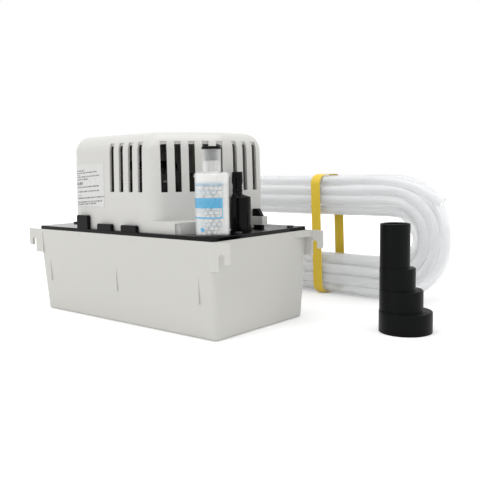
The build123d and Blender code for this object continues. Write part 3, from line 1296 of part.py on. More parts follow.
def make_inlet_plug():
    """The rubber plug in the spare inlet: flange, hollow body and finger bar."""
    flange = rod(PLUG_FLANGE_RADIUS, PLUG_FLANGE_THICKNESS, (0, 0, DECK_TOP))
    flange = fillet(edges_at(flange, DECK_TOP + PLUG_FLANGE_THICKNESS), PLUG_FLANGE_ROUNDING)
    body = rod(SPARE_INLET_RADIUS - SEAT_GAP, PLUG_DEPTH, (0, 0, DECK_TOP - PLUG_DEPTH))
    body = chamfer(edges_at(body, DECK_TOP - PLUG_DEPTH), PLUG_CHAMFER)
    body -= rod(SPARE_INLET_RADIUS - SEAT_GAP - PLUG_WALL, PLUG_DEPTH, (0, 0, DECK_TOP - PLUG_DEPTH - 1))
    grip = rounded_block(PLUG_GRIP_LENGTH, PLUG_GRIP_WIDTH, PLUG_GRIP_HEIGHT, PLUG_GRIP_WIDTH / 2 - SHRINK,
                         (0, 0, DECK_TOP + PLUG_FLANGE_THICKNESS))
    return Pos(SPARE_INLET_X, SPARE_INLET_Y, 0) * (flange + body + grip)


def make_canister_body():
    """The clear treatment canister: hollow body, shoulder, neck and small side nubs."""
    body = rod(CANISTER_RADIUS, CANISTER_HEIGHT, (0, 0, 0))
    body = fillet(edges_at(body, 0) + edges_at(body, CANISTER_HEIGHT), CANISTER_ROUNDING)
    body += rod(CANISTER_NECK_RADIUS, CANISTER_HEIGHT + CANISTER_NECK_HEIGHT, (0, 0, 0))
    for turn, height in NUB_PLACES:
        nub = Pos(CANISTER_RADIUS + NUB_REACH - NUB_RADIUS, 0, height) * Sphere(NUB_RADIUS)
        body += Rot(0, 0, turn) * nub
    inside = rod(CANISTER_RADIUS - CANISTER_WALL, CANISTER_HEIGHT - 2 * CANISTER_WALL, (0, 0, CANISTER_WALL))
    body -= inside
    body -= rod(CANISTER_NECK_RADIUS - CANISTER_WALL, CANISTER_HEIGHT, (0, 0, CANISTER_HEIGHT / 2))
    return Pos(CANISTER_X, CANISTER_Y, DECK_TOP) * body


def make_beads():
    """One solid for the loose charge of beads in the canister."""
    inset = CANISTER_WALL + SEAT_GAP
    charge = rod(CANISTER_RADIUS - inset, BEAD_LEVEL - inset, (CANISTER_X, CANISTER_Y, DECK_TOP + inset))
    return fillet(edges_at(charge, DECK_TOP + BEAD_LEVEL), BEAD_ROUNDING)


def make_canister_label():
    """The label wrapped part of the way round the canister."""
    height = CANISTER_LABEL_TOP - CANISTER_LABEL_BOTTOM
    ring = tube(CANISTER_RADIUS + CANISTER_LABEL_THICKNESS, CANISTER_RADIUS + SHRINK, height, (0, 0, 0))
    half = Pos(0, CANISTER_RADIUS, height / 2) * Box(6 * CANISTER_RADIUS, 2 * CANISTER_RADIUS, height + 2)
    spare = 360 - CANISTER_LABEL_SPAN
    ring -= Rot(0, 0, CANISTER_LABEL_TURN + CANISTER_LABEL_SPAN / 2) * half & Rot(
        0, 0, CANISTER_LABEL_TURN + CANISTER_LABEL_SPAN / 2 + spare - 180) * half
    return Pos(CANISTER_X, CANISTER_Y, DECK_TOP + CANISTER_LABEL_BOTTOM) * ring


def make_canister_cap():
    """The clear cap over the canister's neck."""
    z = DECK_TOP + CANISTER_HEIGHT + SEAT_GAP
    return tube(CAP_RADIUS, CAP_RADIUS - CAP_WALL, CAP_HEIGHT, (CANISTER_X, CANISTER_Y, z))


def make_cap_disc():
    """The dark closing disc on the canister's cap."""
    z = DECK_TOP + CANISTER_HEIGHT + SEAT_GAP + CAP_HEIGHT
    disc = rod(CAP_RADIUS, CAP_DISC_THICKNESS, (CANISTER_X, CANISTER_Y, z))
    return fillet(edges_at(disc, z + CAP_DISC_THICKNESS), CAP_DISC_ROUNDING)


def make_stopper():
    """The ribbed rubber stopper under the cap's disc."""
    low = DECK_TOP + CANISTER_HEIGHT + SEAT_GAP + CAP_HEIGHT - STOPPER_HEIGHT
    body = rod(STOPPER_RADIUS, STOPPER_HEIGHT, (0, 0, low))
    root = STOPPER_RADIUS - STOPPER_GROOVE_DEPTH
    for level in STOPPER_GROOVES:
        body -= tube(STOPPER_RADIUS + 1, root, STOPPER_GROOVE_WIDTH, (0, 0, low + level))
    return Pos(CANISTER_X, CANISTER_Y, 0) * body


def adapter_steps():
    """Centre, radius, wall, foot and height of each step; all are tangent on one side."""
    side = math.radians(ADAPTER_FLAT_SIDE)
    foot = 0.0
    steps = []
    for radius, wall, height, shift in zip(ADAPTER_RADII, ADAPTER_WALLS, ADAPTER_HEIGHTS, ADAPTER_SHIFTS):
        x = ADAPTER_X + shift * math.cos(side)
        y = ADAPTER_Y + shift * math.sin(side)
        steps.append((x, y, radius, wall, foot, height))
        foot += height
    return steps


def make_adapter():
    """The stepped rubber adapter, each bore open through the ceiling of the step below."""
    body = None
    for x, y, radius, wall, foot, height in adapter_steps():
        step = rod(radius, height, (x, y, foot))
        step = fillet(edges_at(step, foot + height), ADAPTER_ROUNDING)
        body = step if body is None else body + step
    ends = sum(ADAPTER_HEIGHTS)
    for x, y, radius, wall, foot, height in adapter_steps():
        low = foot - ADAPTER_CEILING - 1
        top = foot + height
        top += 1 if top == ends else -ADAPTER_CEILING
        body -= rod(radius - wall, top - low, (x, y, low))
    return body


def oval(radius):
    """A horizontal oval in the XZ plane with its round ends at the hank's two centres."""
    length = HANK_RIGHT - HANK_LEFT
    return SlotCenterToCenter(length, 2 * radius)


def make_hank():
    """The outer shape of the coiled hose, standing on its long edge."""
    ring = extrude(oval(HANK_OUTER_RADIUS), HANK_DEPTH) - extrude(oval(HANK_HOLE_RADIUS), HANK_DEPTH)
    rims = edges_at(ring, 0) + edges_at(ring, HANK_DEPTH)
    ring = fillet(rims, HANK_ROUNDING)
    middle = (HANK_RIGHT + HANK_LEFT) / 2
    return Pos(middle, HANK_Y + HANK_DEPTH / 2, HANK_Z) * Rot(90, 0, 0) * ring


def make_strap():
    """The flat band round both runs of the hank."""
    depth = HANK_DEPTH + 2 * SEAT_GAP
    height = 2 * HANK_OUTER_RADIUS + 2 * SEAT_GAP
    outer = RectangleRounded(
        depth + 2 * STRAP_THICKNESS, height + 2 * STRAP_THICKNESS, STRAP_ROUNDING + STRAP_THICKNESS)
    inner = RectangleRounded(depth, height, STRAP_ROUNDING)
    band = extrude(outer - inner, STRAP_WIDTH)
    return Pos(STRAP_X - STRAP_WIDTH / 2, HANK_Y, HANK_Z) * (Plane.YZ * band)


NODES = {
    "tank": make_tank,
    "deck_plate": make_deck,
    "deck_tabs": make_deck_tabs,
    "deck_screws": make_deck_screws,
    "cover_post": make_cover_post,
    "float_bracket": make_float_bracket,
    "motor_cover": make_cover,
    "cover_lug": make_cover_lug,
    "data_label": make_data_label,
    "cord_bush": make_cord_bush,
    "inlet_plug": make_inlet_plug,
    "volute_housing": make_volute,
    "column_screws": make_column_screws,
    "strainer_plate": make_strainer,
    "strainer_screws": make_strainer_screws,
    "impeller": make_impeller,
    "motor_shaft": make_shaft,
    "rotor_core": make_rotor_core,
    "cooling_fan": make_fan,
    "shaft_slinger": make_slinger,
    "lower_bracket": make_lower_bracket,
    "upper_bracket": make_upper_bracket,
    "lower_bearing": make_lower_bearing,
    "upper_bearing": make_upper_bearing,
    "stator_core": make_stator,
    "coil_bobbin": make_bobbin,
    "coil_winding": make_winding,
    "motor_standoffs": make_standoffs,
    "motor_bolts": make_motor_bolts,
    "discharge_riser": make_riser,
    "valve_body": make_valve_body,
    "valve_seal": make_valve_seal,
    "barb_nozzle": make_barb_nozzle,
    "valve_ball": make_valve_ball,
    "main_float": make_main_float,
    "float_arm": make_float_arm,
    "float_screws": make_float_screws,
    "float_pin": make_float_pin,
    "push_rod": make_push_rod,
    "run_switch": make_run_switch,
    "switch_bracket": make_switch_bracket,
    "switch_rivets": make_switch_rivets,
    "switch_lever": make_switch_lever,
    "switch_pin": make_switch_pin,
    "safety_stem": make_safety_stem,
    "safety_clips": make_safety_clips,
    "safety_float": make_safety_float,
    "safety_nut": make_safety_nut,
    "canister_body": make_canister_body,
    "canister_beads": make_beads,
    "canister_label": make_canister_label,
    "canister_cap": make_canister_cap,
    "cap_disc": make_cap_disc,
    "canister_stopper": make_stopper,
    "rubber_adapter": make_adapter,
    "hose_hank": make_hank,
    "hose_strap": make_strap,
}

os.makedirs("parts", exist_ok=True)
for node, maker in NODES.items():
    export_step(maker(), os.path.join("parts", node + ".step"))
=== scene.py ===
"""Looks of the condensate pump kit: the finish of every solid and the surfaces that solids leave plain.

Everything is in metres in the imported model's own frame: +X along the tank to its discharge end,
-Y towards the long wall with the cover's vents and label, +Z up, the floor at zero.
"""

import json
import logging
import math
from dataclasses import dataclass
from enum import Enum

import bmesh
import bpy
import numpy as np
from mathutils import Matrix, Vector

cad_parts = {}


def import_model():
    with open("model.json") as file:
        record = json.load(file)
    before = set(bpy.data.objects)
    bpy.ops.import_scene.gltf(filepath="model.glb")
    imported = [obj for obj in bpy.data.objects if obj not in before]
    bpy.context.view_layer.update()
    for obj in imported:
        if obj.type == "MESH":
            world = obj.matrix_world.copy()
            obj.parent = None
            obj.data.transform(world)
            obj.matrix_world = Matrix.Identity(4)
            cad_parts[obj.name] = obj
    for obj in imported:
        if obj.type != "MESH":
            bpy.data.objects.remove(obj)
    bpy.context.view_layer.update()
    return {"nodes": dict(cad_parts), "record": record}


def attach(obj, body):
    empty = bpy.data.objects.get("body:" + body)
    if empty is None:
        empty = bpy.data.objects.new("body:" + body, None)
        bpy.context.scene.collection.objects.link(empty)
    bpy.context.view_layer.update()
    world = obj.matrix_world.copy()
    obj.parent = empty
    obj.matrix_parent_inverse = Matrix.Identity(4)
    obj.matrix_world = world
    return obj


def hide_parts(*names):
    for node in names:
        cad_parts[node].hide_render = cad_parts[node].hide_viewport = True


MM = 0.001
LOG = logging.getLogger("condensate_pump")
Colour = tuple[float, float, float]
Place = tuple[float, float, float]
Array = np.ndarray
BRIGHT_RAYS = ("Is Camera Ray", "Is Transmission Ray", "Is Glossy Ray")


# Meshes worked out as whole arrays


def grid_faces(rows: int, columns: int, wrap_rows: bool, wrap_columns: bool) -> Array:
    """List the quads of a grid whose vertex (i, j) has the index i * columns + j.

    Args:
        rows: Vertices along the first direction.
        columns: Vertices along the second direction.
        wrap_rows: Join the last row to the first.
        wrap_columns: Join the last column to the first.

    Returns:
        One row of four vertex indices per quad.
    """
    i, j = np.meshgrid(
        np.arange(rows if wrap_rows else rows - 1),
        np.arange(columns if wrap_columns else columns - 1), indexing="ij")
    next_i, next_j = (i + 1) % rows, (j + 1) % columns
    corners = (i * columns + j, next_i * columns + j, next_i * columns + next_j, i * columns + next_j)
    return np.stack(corners, axis=-1).reshape(-1, 4)


def add_mesh(name: str, vertices: Array, faces: Array, crease: float = 35.0) -> bpy.types.Object:
    """Make a smooth-shaded mesh object at the origin.

    Args:
        name: Name of the object and its mesh.
        vertices: Points in metres, one per row.
        faces: Vertex indices, one face per row.
        crease: Edges that turn by more than this many degrees stay sharp.

    Returns:
        The new object, linked to the scene.
    """
    mesh = bpy.data.meshes.new(name)
    mesh.from_pydata(vertices.reshape(-1, 3).tolist(), [], faces.tolist())
    mesh.update()
    mesh.polygons.foreach_set("use_smooth", np.ones(len(mesh.polygons), bool))
    mesh.set_sharp_from_angle(angle=math.radians(crease))
    piece = bpy.data.objects.new(name, mesh)
    bpy.context.scene.collection.objects.link(piece)
    return piece


def close_up(piece: bpy.types.Object, crease: float = 35.0) -> None:
    """Merge doubled poles and seams and turn every face outwards.

    Args:
        piece: The object whose mesh is cleaned.
        crease: Edges that turn by more than this many degrees stay sharp.
    """
    work = bmesh.new()
    work.from_mesh(piece.data)
    bmesh.ops.remove_doubles(work, verts=work.verts, dist=1e-6)
    bmesh.ops.dissolve_degenerate(work, edges=work.edges, dist=1e-7)
    bmesh.ops.recalc_face_normals(work, faces=work.faces)
    work.to_mesh(piece.data)
    work.free()
    piece.data.set_sharp_from_angle(angle=math.radians(crease))


def set_uv(piece: bpy.types.Object, along: Array, across: Array) -> None:
    """Give a mesh a UV map from one pair of values per vertex.

    Args:
        piece: The object whose mesh takes the map.
        along: First coordinate of each vertex.
        across: Second coordinate of each vertex.
    """
    mesh = piece.data
    corner = np.empty(len(mesh.loops), int)
    mesh.loops.foreach_get("vertex_index", corner)
    pairs = np.stack((along.ravel()[corner], across.ravel()[corner]), axis=1)
    layer = mesh.uv_layers.new(name="print")
    layer.data.foreach_set("uv", pairs.astype(np.float32).ravel())


def ease(share: Array) -> Array:
    """Smooth a share of the way: 3t^2 - 2t^3, which is level at both ends.

    Args:
        share: Shares from 0 to 1.

    Returns:
        The smoothed shares.
    """
    return share * share * (3 - 2 * share)


def soften(profile: Array, radii: Array, steps: int = 4) -> Array:
    """Round the corners of an open profile.

    Each corner is replaced by a quadratic blend: the tangent points lie one radius before and after
    the corner, and a point at share t is (1-t)^2 times the first, 2t(1-t) times the corner and t^2
    times the last.

    Args:
        profile: Corner points, one (radius, height) pair per row, or with a third value such as a shift.
        radii: How far before and after each corner its rounding starts, zero for a sharp corner.
        steps: Points along each rounding.

    Returns:
        The rounded profile, one point per row.
    """
    before = profile - np.roll(profile, 1, axis=0)
    after = np.roll(profile, -1, axis=0) - profile
    before /= np.maximum(np.linalg.norm(before, axis=1, keepdims=True), 1e-9)
    after /= np.maximum(np.linalg.norm(after, axis=1, keepdims=True), 1e-9)
    first = profile - before * radii[:, None]
    last = profile + after * radii[:, None]
    t = np.linspace(0.0, 1.0, steps)[None, :, None]
    blend = (1 - t) ** 2 * first[:, None] + 2 * t * (1 - t) * profile[:, None] + t ** 2 * last[:, None]
    keep = (np.arange(steps)[None, :] == 0) | (radii[:, None] > 0)
    return blend.reshape(-1, profile.shape[1])[keep.ravel()]


def turned(name: str, profile: Array, centre: tuple[float, float], sides: int = 64,
           closed: bool = False, shifts: Array | None = None) -> bpy.types.Object:
    """Turn a profile about an upright axis.

    Vertex (i, j) lies at profile radius i from the axis at the angle j / sides of a full turn, at
    profile height i. Each row's circle may stand off the axis by a shift of its own.

    Args:
        name: Name of the piece.
        profile: (radius, height) pairs in metres, one per row.
        centre: Where the axis stands.
        sides: Points round the axis.
        closed: Whether the profile's end joins its start, as a wall's section does.
        shifts: Sideways shift (x, y) of each row's circle.

    Returns:
        The new object with outward faces.
    """
    angle = np.linspace(0, 2 * np.pi, sides, endpoint=False)[None, :]
    radius, height = profile[:, :1], profile[:, 1:2]
    off = np.zeros_like(profile[:, :2]) if shifts is None else shifts
    x = centre[0] + off[:, :1] + radius * np.cos(angle)
    y = centre[1] + off[:, 1:] + radius * np.sin(angle)
    points = np.stack((x, y, np.broadcast_to(height, x.shape)), axis=-1)
    piece = add_mesh(name, points, grid_faces(len(profile), sides, closed, True))
    close_up(piece)
    return piece


# Shader trees


class Sketch:
    """A short way to add and join the nodes of one shader tree."""

    def __init__(self, tree: bpy.types.NodeTree) -> None:
        """Keep the tree that nodes are added to.

        Args:
            tree: A material's, world's or group's tree.
        """
        self.tree = tree

    def node(self, kind: str, inputs: dict[str | int, object] | None = None,
             **settings: object) -> bpy.types.Node:
        """Add a node.

        Args:
            kind: The node's type name.
            inputs: Values or sockets for its inputs, by name or number.
            settings: Properties of the node.

        Returns:
            The new node.
        """
        made = self.tree.nodes.new(kind)
        for name, value in settings.items():
            setattr(made, name, value)
        for name, value in (inputs or {}).items():
            if isinstance(value, bpy.types.NodeSocket):
                self.tree.links.new(value, made.inputs[name])
            else:
                made.inputs[name].default_value = value
        return made

    def maths(self, operation: str, *values: object) -> bpy.types.NodeSocket:
        """Join values by a math operation, two at a time from the left.

        Args:
            operation: The math node's operation.
            values: Numbers or sockets, only one where the operation takes one.

        Returns:
            The socket of the result.
        """
        total = values[0]
        for value in values[1:] or (0.0,):
            total = self.node("ShaderNodeMath", {0: total, 1: value}, operation=operation).outputs[0]
        return total

    def spread(self, value: object, low: float, high: float, new_low: float, new_high: float,
               soft: bool = False) -> bpy.types.NodeSocket:
        """Carry a value from one range to another, and no further.

        Args:
            value: A number or socket.
            low: Start of its range.
            high: End of its range.
            new_low: Result at the start.
            new_high: Result at the end.
            soft: Whether the way between both is smooth instead of straight.

        Returns:
            The socket of the result.
        """
        made = self.node("ShaderNodeMapRange", {0: value, 1: low, 2: high, 3: new_low, 4: new_high})
        made.interpolation_type = "SMOOTHSTEP" if soft else "LINEAR"
        return made.outputs[0]

    def between(self, value: object, low: float, high: float) -> bpy.types.NodeSocket:
        """Mask the stretch of a value between two limits.

        Args:
            value: A number or socket.
            low: Where the mask starts.
            high: Where it ends.

        Returns:
            The mask's socket.
        """
        above = self.maths("GREATER_THAN", value, low)
        return self.maths("MULTIPLY", above, self.maths("LESS_THAN", value, high))

    def mix(self, share: object, first: object, second: object) -> bpy.types.NodeSocket:
        """Mix two colours.

        Args:
            share: How much of the second colour shows.
            first: A colour or socket.
            second: A colour or socket.

        Returns:
            The socket of the result.
        """
        made = self.node("ShaderNodeMix", {0: share, 6: first, 7: second}, data_type="RGBA")
        return made.outputs[2]

    def seen_plainly(self) -> bpy.types.NodeSocket:
        """Mask the rays that show the surroundings to the eye, straight, through or mirrored.

        Returns:
            The mask's socket.
        """
        path = self.node("ShaderNodeLightPath")
        return self.maths("MAXIMUM", *(path.outputs[label] for label in BRIGHT_RAYS))

    def place(self) -> bpy.types.Node:
        """Read the place on the object and part it into X, Y and Z.

        Returns:
            The node with the three outputs.
        """
        return self.node("ShaderNodeSeparateXYZ", {0: self.node("ShaderNodeTexCoord").outputs["Object"]})


def fresh_sketch(owner: bpy.types.Material | bpy.types.World) -> Sketch:
    """Empty the shader tree of a material or world.

    Args:
        owner: The material or world.

    Returns:
        A sketch of its tree.
    """
    owner.use_nodes = True
    owner.node_tree.nodes.clear()
    return Sketch(owner.node_tree)


def new_group(name: str, inputs: dict[str, object], outputs: dict[str, str]) -> tuple[
        bpy.types.NodeTree, Sketch, bpy.types.Node, bpy.types.Node]:
    """Start a shader node group with named sockets.

    Args:
        name: Name of the group.
        inputs: Default value of each input; four numbers make a colour, one number a value.
        outputs: Kind of each output, "Color" or "Float".

    Returns:
        The group, a sketch of it, its input node and its output node.
    """
    group = bpy.data.node_groups.new(name, "ShaderNodeTree")
    for label, value in inputs.items():
        kind = "Color" if isinstance(value, tuple) and len(value) == 4 else "Float"
        kind = "Vector" if isinstance(value, tuple) and len(value) == 3 else kind
        socket = group.interface.new_socket(label, in_out="INPUT", socket_type="NodeSocket" + kind)
        socket.default_value = value
    for label, kind in outputs.items():
        group.interface.new_socket(label, in_out="OUTPUT", socket_type="NodeSocket" + kind)
    sketch = Sketch(group)
    return group, sketch, sketch.node("NodeGroupInput"), sketch.node("NodeGroupOutput")


def surface_grain() -> bpy.types.NodeTree:
    """Build once the group that gives a surface its mottling, fine grain and settled dust.

    The colour is scaled by one plus the mottle times slow noise. The height is fine noise. The
    roughness rises and falls with the slow noise, and dust lies where the surface faces up.

    Returns:
        The node group.
    """
    found = bpy.data.node_groups.get("surface_grain")
    if found:
        return found
    group, s, given, result = new_group(
        "surface_grain",
        {"Color": (0.8, 0.8, 0.8, 1.0), "Dust Color": (0.6, 0.58, 0.55, 1.0), "Mottle": 0.03,
         "Mottle Scale": 40.0, "Grain Scale": 1500.0, "Stretch": (1.0, 1.0, 1.0), "Roughness": 0.4,
         "Roughness Spread": 0.05, "Dust": 0.0},
        {"Color": "Color", "Roughness": "Float", "Height": "Float"})
    dust_slope, speck_range, dust_roughness = (0.6, 1.0), (0.5, 0.75), 0.3
    place = s.node("ShaderNodeTexCoord").outputs["Object"]
    drawn = s.node("ShaderNodeVectorMath", {0: place, 1: given.outputs["Stretch"]}, operation="MULTIPLY")
    slow = s.node("ShaderNodeTexNoise", {"Vector": place, "Scale": given.outputs["Mottle Scale"],
                                         "Detail": 3.0, "Roughness": 0.6}).outputs["Fac"]
    fine = s.node("ShaderNodeTexNoise", {"Vector": drawn.outputs[0], "Scale": given.outputs["Grain Scale"],
                                         "Detail": 2.0, "Roughness": 0.5}).outputs["Fac"]
    centred = s.maths("SUBTRACT", slow, 0.5)
    factor = s.maths("ADD", 1.0, s.maths("MULTIPLY", centred, 2.0, given.outputs["Mottle"]))
    tinted = s.node("ShaderNodeVectorMath", {0: given.outputs["Color"], "Scale": factor}, operation="SCALE")
    facing = s.node("ShaderNodeSeparateXYZ", {0: s.node("ShaderNodeNewGeometry").outputs["Normal"]})
    lying = s.spread(facing.outputs["Z"], *dust_slope, 0.0, 1.0)
    speck = s.spread(fine, *speck_range, 0.0, 1.0)
    dusty = s.maths("MULTIPLY", lying, speck, given.outputs["Dust"])
    colour = s.mix(dusty, tinted.outputs[0], given.outputs["Dust Color"])
    swing = s.maths("MULTIPLY", centred, 2.0, given.outputs["Roughness Spread"])
    rough = s.maths("ADD", given.outputs["Roughness"], swing, s.maths("MULTIPLY", dusty, dust_roughness))
    for label, socket in {"Color": colour, "Roughness": rough, "Height": fine}.items():
        group.links.new(socket, result.inputs[label])
    return group


def ruled_lines() -> bpy.types.NodeTree:
    """Build once the group that prints plain ruled bars of uneven length in rows.

    The row is the whole part of Up / Pitch. A bar is printed where the share of a pitch left over
    lies under Weight, and Along lies between the row's random start and end. Short gaps at random
    places break a bar up.

    Returns:
        The node group; its Ink output is 1 on a bar.
    """
    found = bpy.data.node_groups.get("ruled_lines")
    if found:
        return found
    group, s, given, result = new_group(
        "ruled_lines",
        {"Along": 0.0, "Up": 0.0, "Pitch": 0.0026, "Weight": 0.45, "Start": 0.0, "End": 0.04,
         "Ragged": 0.5, "Blank Rows": 0.25, "Gap Scale": 900.0},
        {"Ink": "Float"})
    second_draw, row_step, gap_level = 71.3, 3.7, 0.42
    rows = s.maths("DIVIDE", given.outputs["Up"], given.outputs["Pitch"])
    row = s.maths("FLOOR", rows)
    share = s.maths("SUBTRACT", rows, row)
    chance = s.node("ShaderNodeTexWhiteNoise", {"W": row}, noise_dimensions="1D").outputs["Value"]
    other = s.node("ShaderNodeTexWhiteNoise", {"W": s.maths("ADD", row, second_draw)},
                   noise_dimensions="1D").outputs["Value"]
    on_bar = s.maths("LESS_THAN", share, given.outputs["Weight"])
    shown = s.maths("GREATER_THAN", other, given.outputs["Blank Rows"])
    width = s.maths("SUBTRACT", given.outputs["End"], given.outputs["Start"])
    cut = s.maths("MULTIPLY", chance, given.outputs["Ragged"], width)
    end = s.maths("SUBTRACT", given.outputs["End"], cut)
    inside = s.between(given.outputs["Along"], given.outputs["Start"], end)
    place = s.maths("ADD", given.outputs["Along"], s.maths("MULTIPLY", row, row_step))
    bits = s.node("ShaderNodeTexNoise", {"W": place, "Scale": given.outputs["Gap Scale"], "Detail": 0.0},
                  noise_dimensions="1D").outputs["Fac"]
    solid = s.maths("GREATER_THAN", bits, gap_level)
    group.links.new(s.maths("MULTIPLY", on_bar, shown, inside, solid), result.inputs["Ink"])
    return group


def broken_bar() -> bpy.types.NodeTree:
    """Build once the group that prints one level bar with small gaps in it.

    Ink is 1 where Up lies within half a thickness of the middle, Along lies between start and end,
    and slow one-way noise, moved on by the row's number, stays over a limit.

    Returns:
        The node group.
    """
    found = bpy.data.node_groups.get("broken_bar")
    if found:
        return found
    group, s, given, result = new_group(
        "broken_bar",
        {"Along": 0.0, "Up": 0.0, "Middle": 0.0, "Thickness": 0.001, "Start": 0.0, "End": 0.04, "Row": 0.0},
        {"Ink": "Float"})
    gap_scale, gap_level = 700.0, 0.40
    away = s.maths("ABSOLUTE", s.maths("SUBTRACT", given.outputs["Up"], given.outputs["Middle"]))
    on_bar = s.maths("LESS_THAN", away, s.maths("MULTIPLY", given.outputs["Thickness"], 0.5))
    inside = s.between(given.outputs["Along"], given.outputs["Start"], given.outputs["End"])
    place = s.maths("ADD", given.outputs["Along"], given.outputs["Row"])
    bits = s.node("ShaderNodeTexNoise", {"W": place, "Scale": gap_scale, "Detail": 0.0},
                  noise_dimensions="1D").outputs["Fac"]
    solid = s.maths("GREATER_THAN", bits, gap_level)
    group.links.new(s.maths("MULTIPLY", on_bar, inside, solid), result.inputs["Ink"])
    return group


class Ink(Enum):
    """What is printed on a film."""

    LINES = "plain ruled lines"
    BANDS = "plain coloured bands"


@dataclass(frozen=True)
class Finish:
    """An opaque finish: the grain group feeds a Principled shader's colour, roughness and bump."""

    colour: Colour
    roughness: float = 0.4
    metallic: float = 0.0
    specular: float = 0.5
    mottle: float = 0.02
    mottle_size: float = 25 * MM
    grain_size: float = 0.7 * MM
    grain_depth: float = 0.02 * MM
    stretch: tuple[float, float, float] = (1.0, 1.0, 1.0)
    roughness_spread: float = 0.05
    dust: float = 0.0

    def colour_and_more(self, s: Sketch) -> tuple[object, object, object]:
        """Add the grain group to a material.

        Args:
            s: Sketch of the material's tree.

        Returns:
            The sockets of colour, roughness and height.
        """
        grain = s.node("ShaderNodeGroup", {
            "Color": (*self.colour, 1.0), "Mottle": self.mottle, "Mottle Scale": 1 / self.mottle_size,
            "Grain Scale": 1 / self.grain_size, "Stretch": self.stretch, "Roughness": self.roughness,
            "Roughness Spread": self.roughness_spread, "Dust": self.dust}, node_tree=surface_grain())
        return tuple(grain.outputs[label] for label in ("Color", "Roughness", "Height"))

    def build(self, name: str) -> bpy.types.Material:
        """Make the material, unless it is there.

        Args:
            name: The finish's name in the palette.

        Returns:
            The material.
        """
        label = name + "_finish"
        found = bpy.data.materials.get(label)
        if found:
            return found
        material = bpy.data.materials.new(label)
        s = fresh_sketch(material)
        colour, rough, height = self.colour_and_more(s)
        bump = s.node("ShaderNodeBump", {"Height": height, "Strength": 1.0, "Distance": self.grain_depth})
        shader = s.node("ShaderNodeBsdfPrincipled", {
            "Base Color": colour, "Roughness": rough, "Metallic": self.metallic,
            "Specular IOR Level": self.specular, "Normal": bump.outputs[0]})
        self.adjust(s, shader)
        s.node("ShaderNodeOutputMaterial", {"Surface": shader.outputs[0]})
        material.diffuse_color = (*self.colour, 1.0)
        return material

    def adjust(self, s: Sketch, shader: bpy.types.Node) -> None:
        """Change the shader after it is joined up; a plain finish changes nothing.

        Args:
            s: Sketch of the material's tree.
            shader: The Principled shader.
        """


@dataclass(frozen=True)
class BandedFinish(Finish):
    """An opaque finish with level bands of another colour between given heights."""

    bands: tuple[tuple[float, float], ...] = ()
    band_colour: Colour = (0.02, 0.02, 0.02)

    def adjust(self, s: Sketch, shader: bpy.types.Node) -> None:
        """Lay each band over the ground colour where its two heights enclose the surface.

        Args:
            s: Sketch of the material's tree.
            shader: The Principled shader.
        """
        under = shader.inputs["Base Color"].links[0].from_socket
        height = s.place().outputs["Z"]
        mask = 0.0
        for low, high in self.bands:
            mask = s.maths("MAXIMUM", mask, s.between(height, low, high))
        s.tree.links.new(s.mix(mask, under, (*self.band_colour, 1.0)), shader.inputs["Base Color"])


@dataclass(frozen=True)
class ClearFinish(Finish):
    """A clear or cloudy plastic: thin across, more solid where the surface turns away.

    Its shadows are thinner than the plastic, as light goes on through it.
    """

    alpha_across: float = 0.15
    alpha_edge: float = 0.8
    turn: float = 0.35
    light_through: float = 0.85

    def adjust(self, s: Sketch, shader: bpy.types.Node) -> None:
        """Feed Alpha from how far the surface turns away, and less of it to the rays that light.

        Args:
            s: Sketch of the material's tree.
            shader: The Principled shader.
        """
        facing = s.node("ShaderNodeLayerWeight", {"Blend": self.turn}).outputs["Facing"]
        alpha = s.spread(facing, 0.0, 1.0, self.alpha_across, self.alpha_edge)
        path = s.node("ShaderNodeLightPath")
        lighting = s.maths("MAXIMUM", path.outputs["Is Shadow Ray"], path.outputs["Is Diffuse Ray"])
        thin = s.maths("SUBTRACT", 1.0, s.maths("MULTIPLY", lighting, self.light_through))
        s.tree.links.new(s.maths("MULTIPLY", alpha, thin), shader.inputs["Alpha"])


@dataclass(frozen=True)
class Mark:
    """One plain mark on a film, with its edges as shares of the film's height and width."""

    low: float
    high: float
    start: float = 0.02
    end: float = 0.98
    strength: float = 1.0


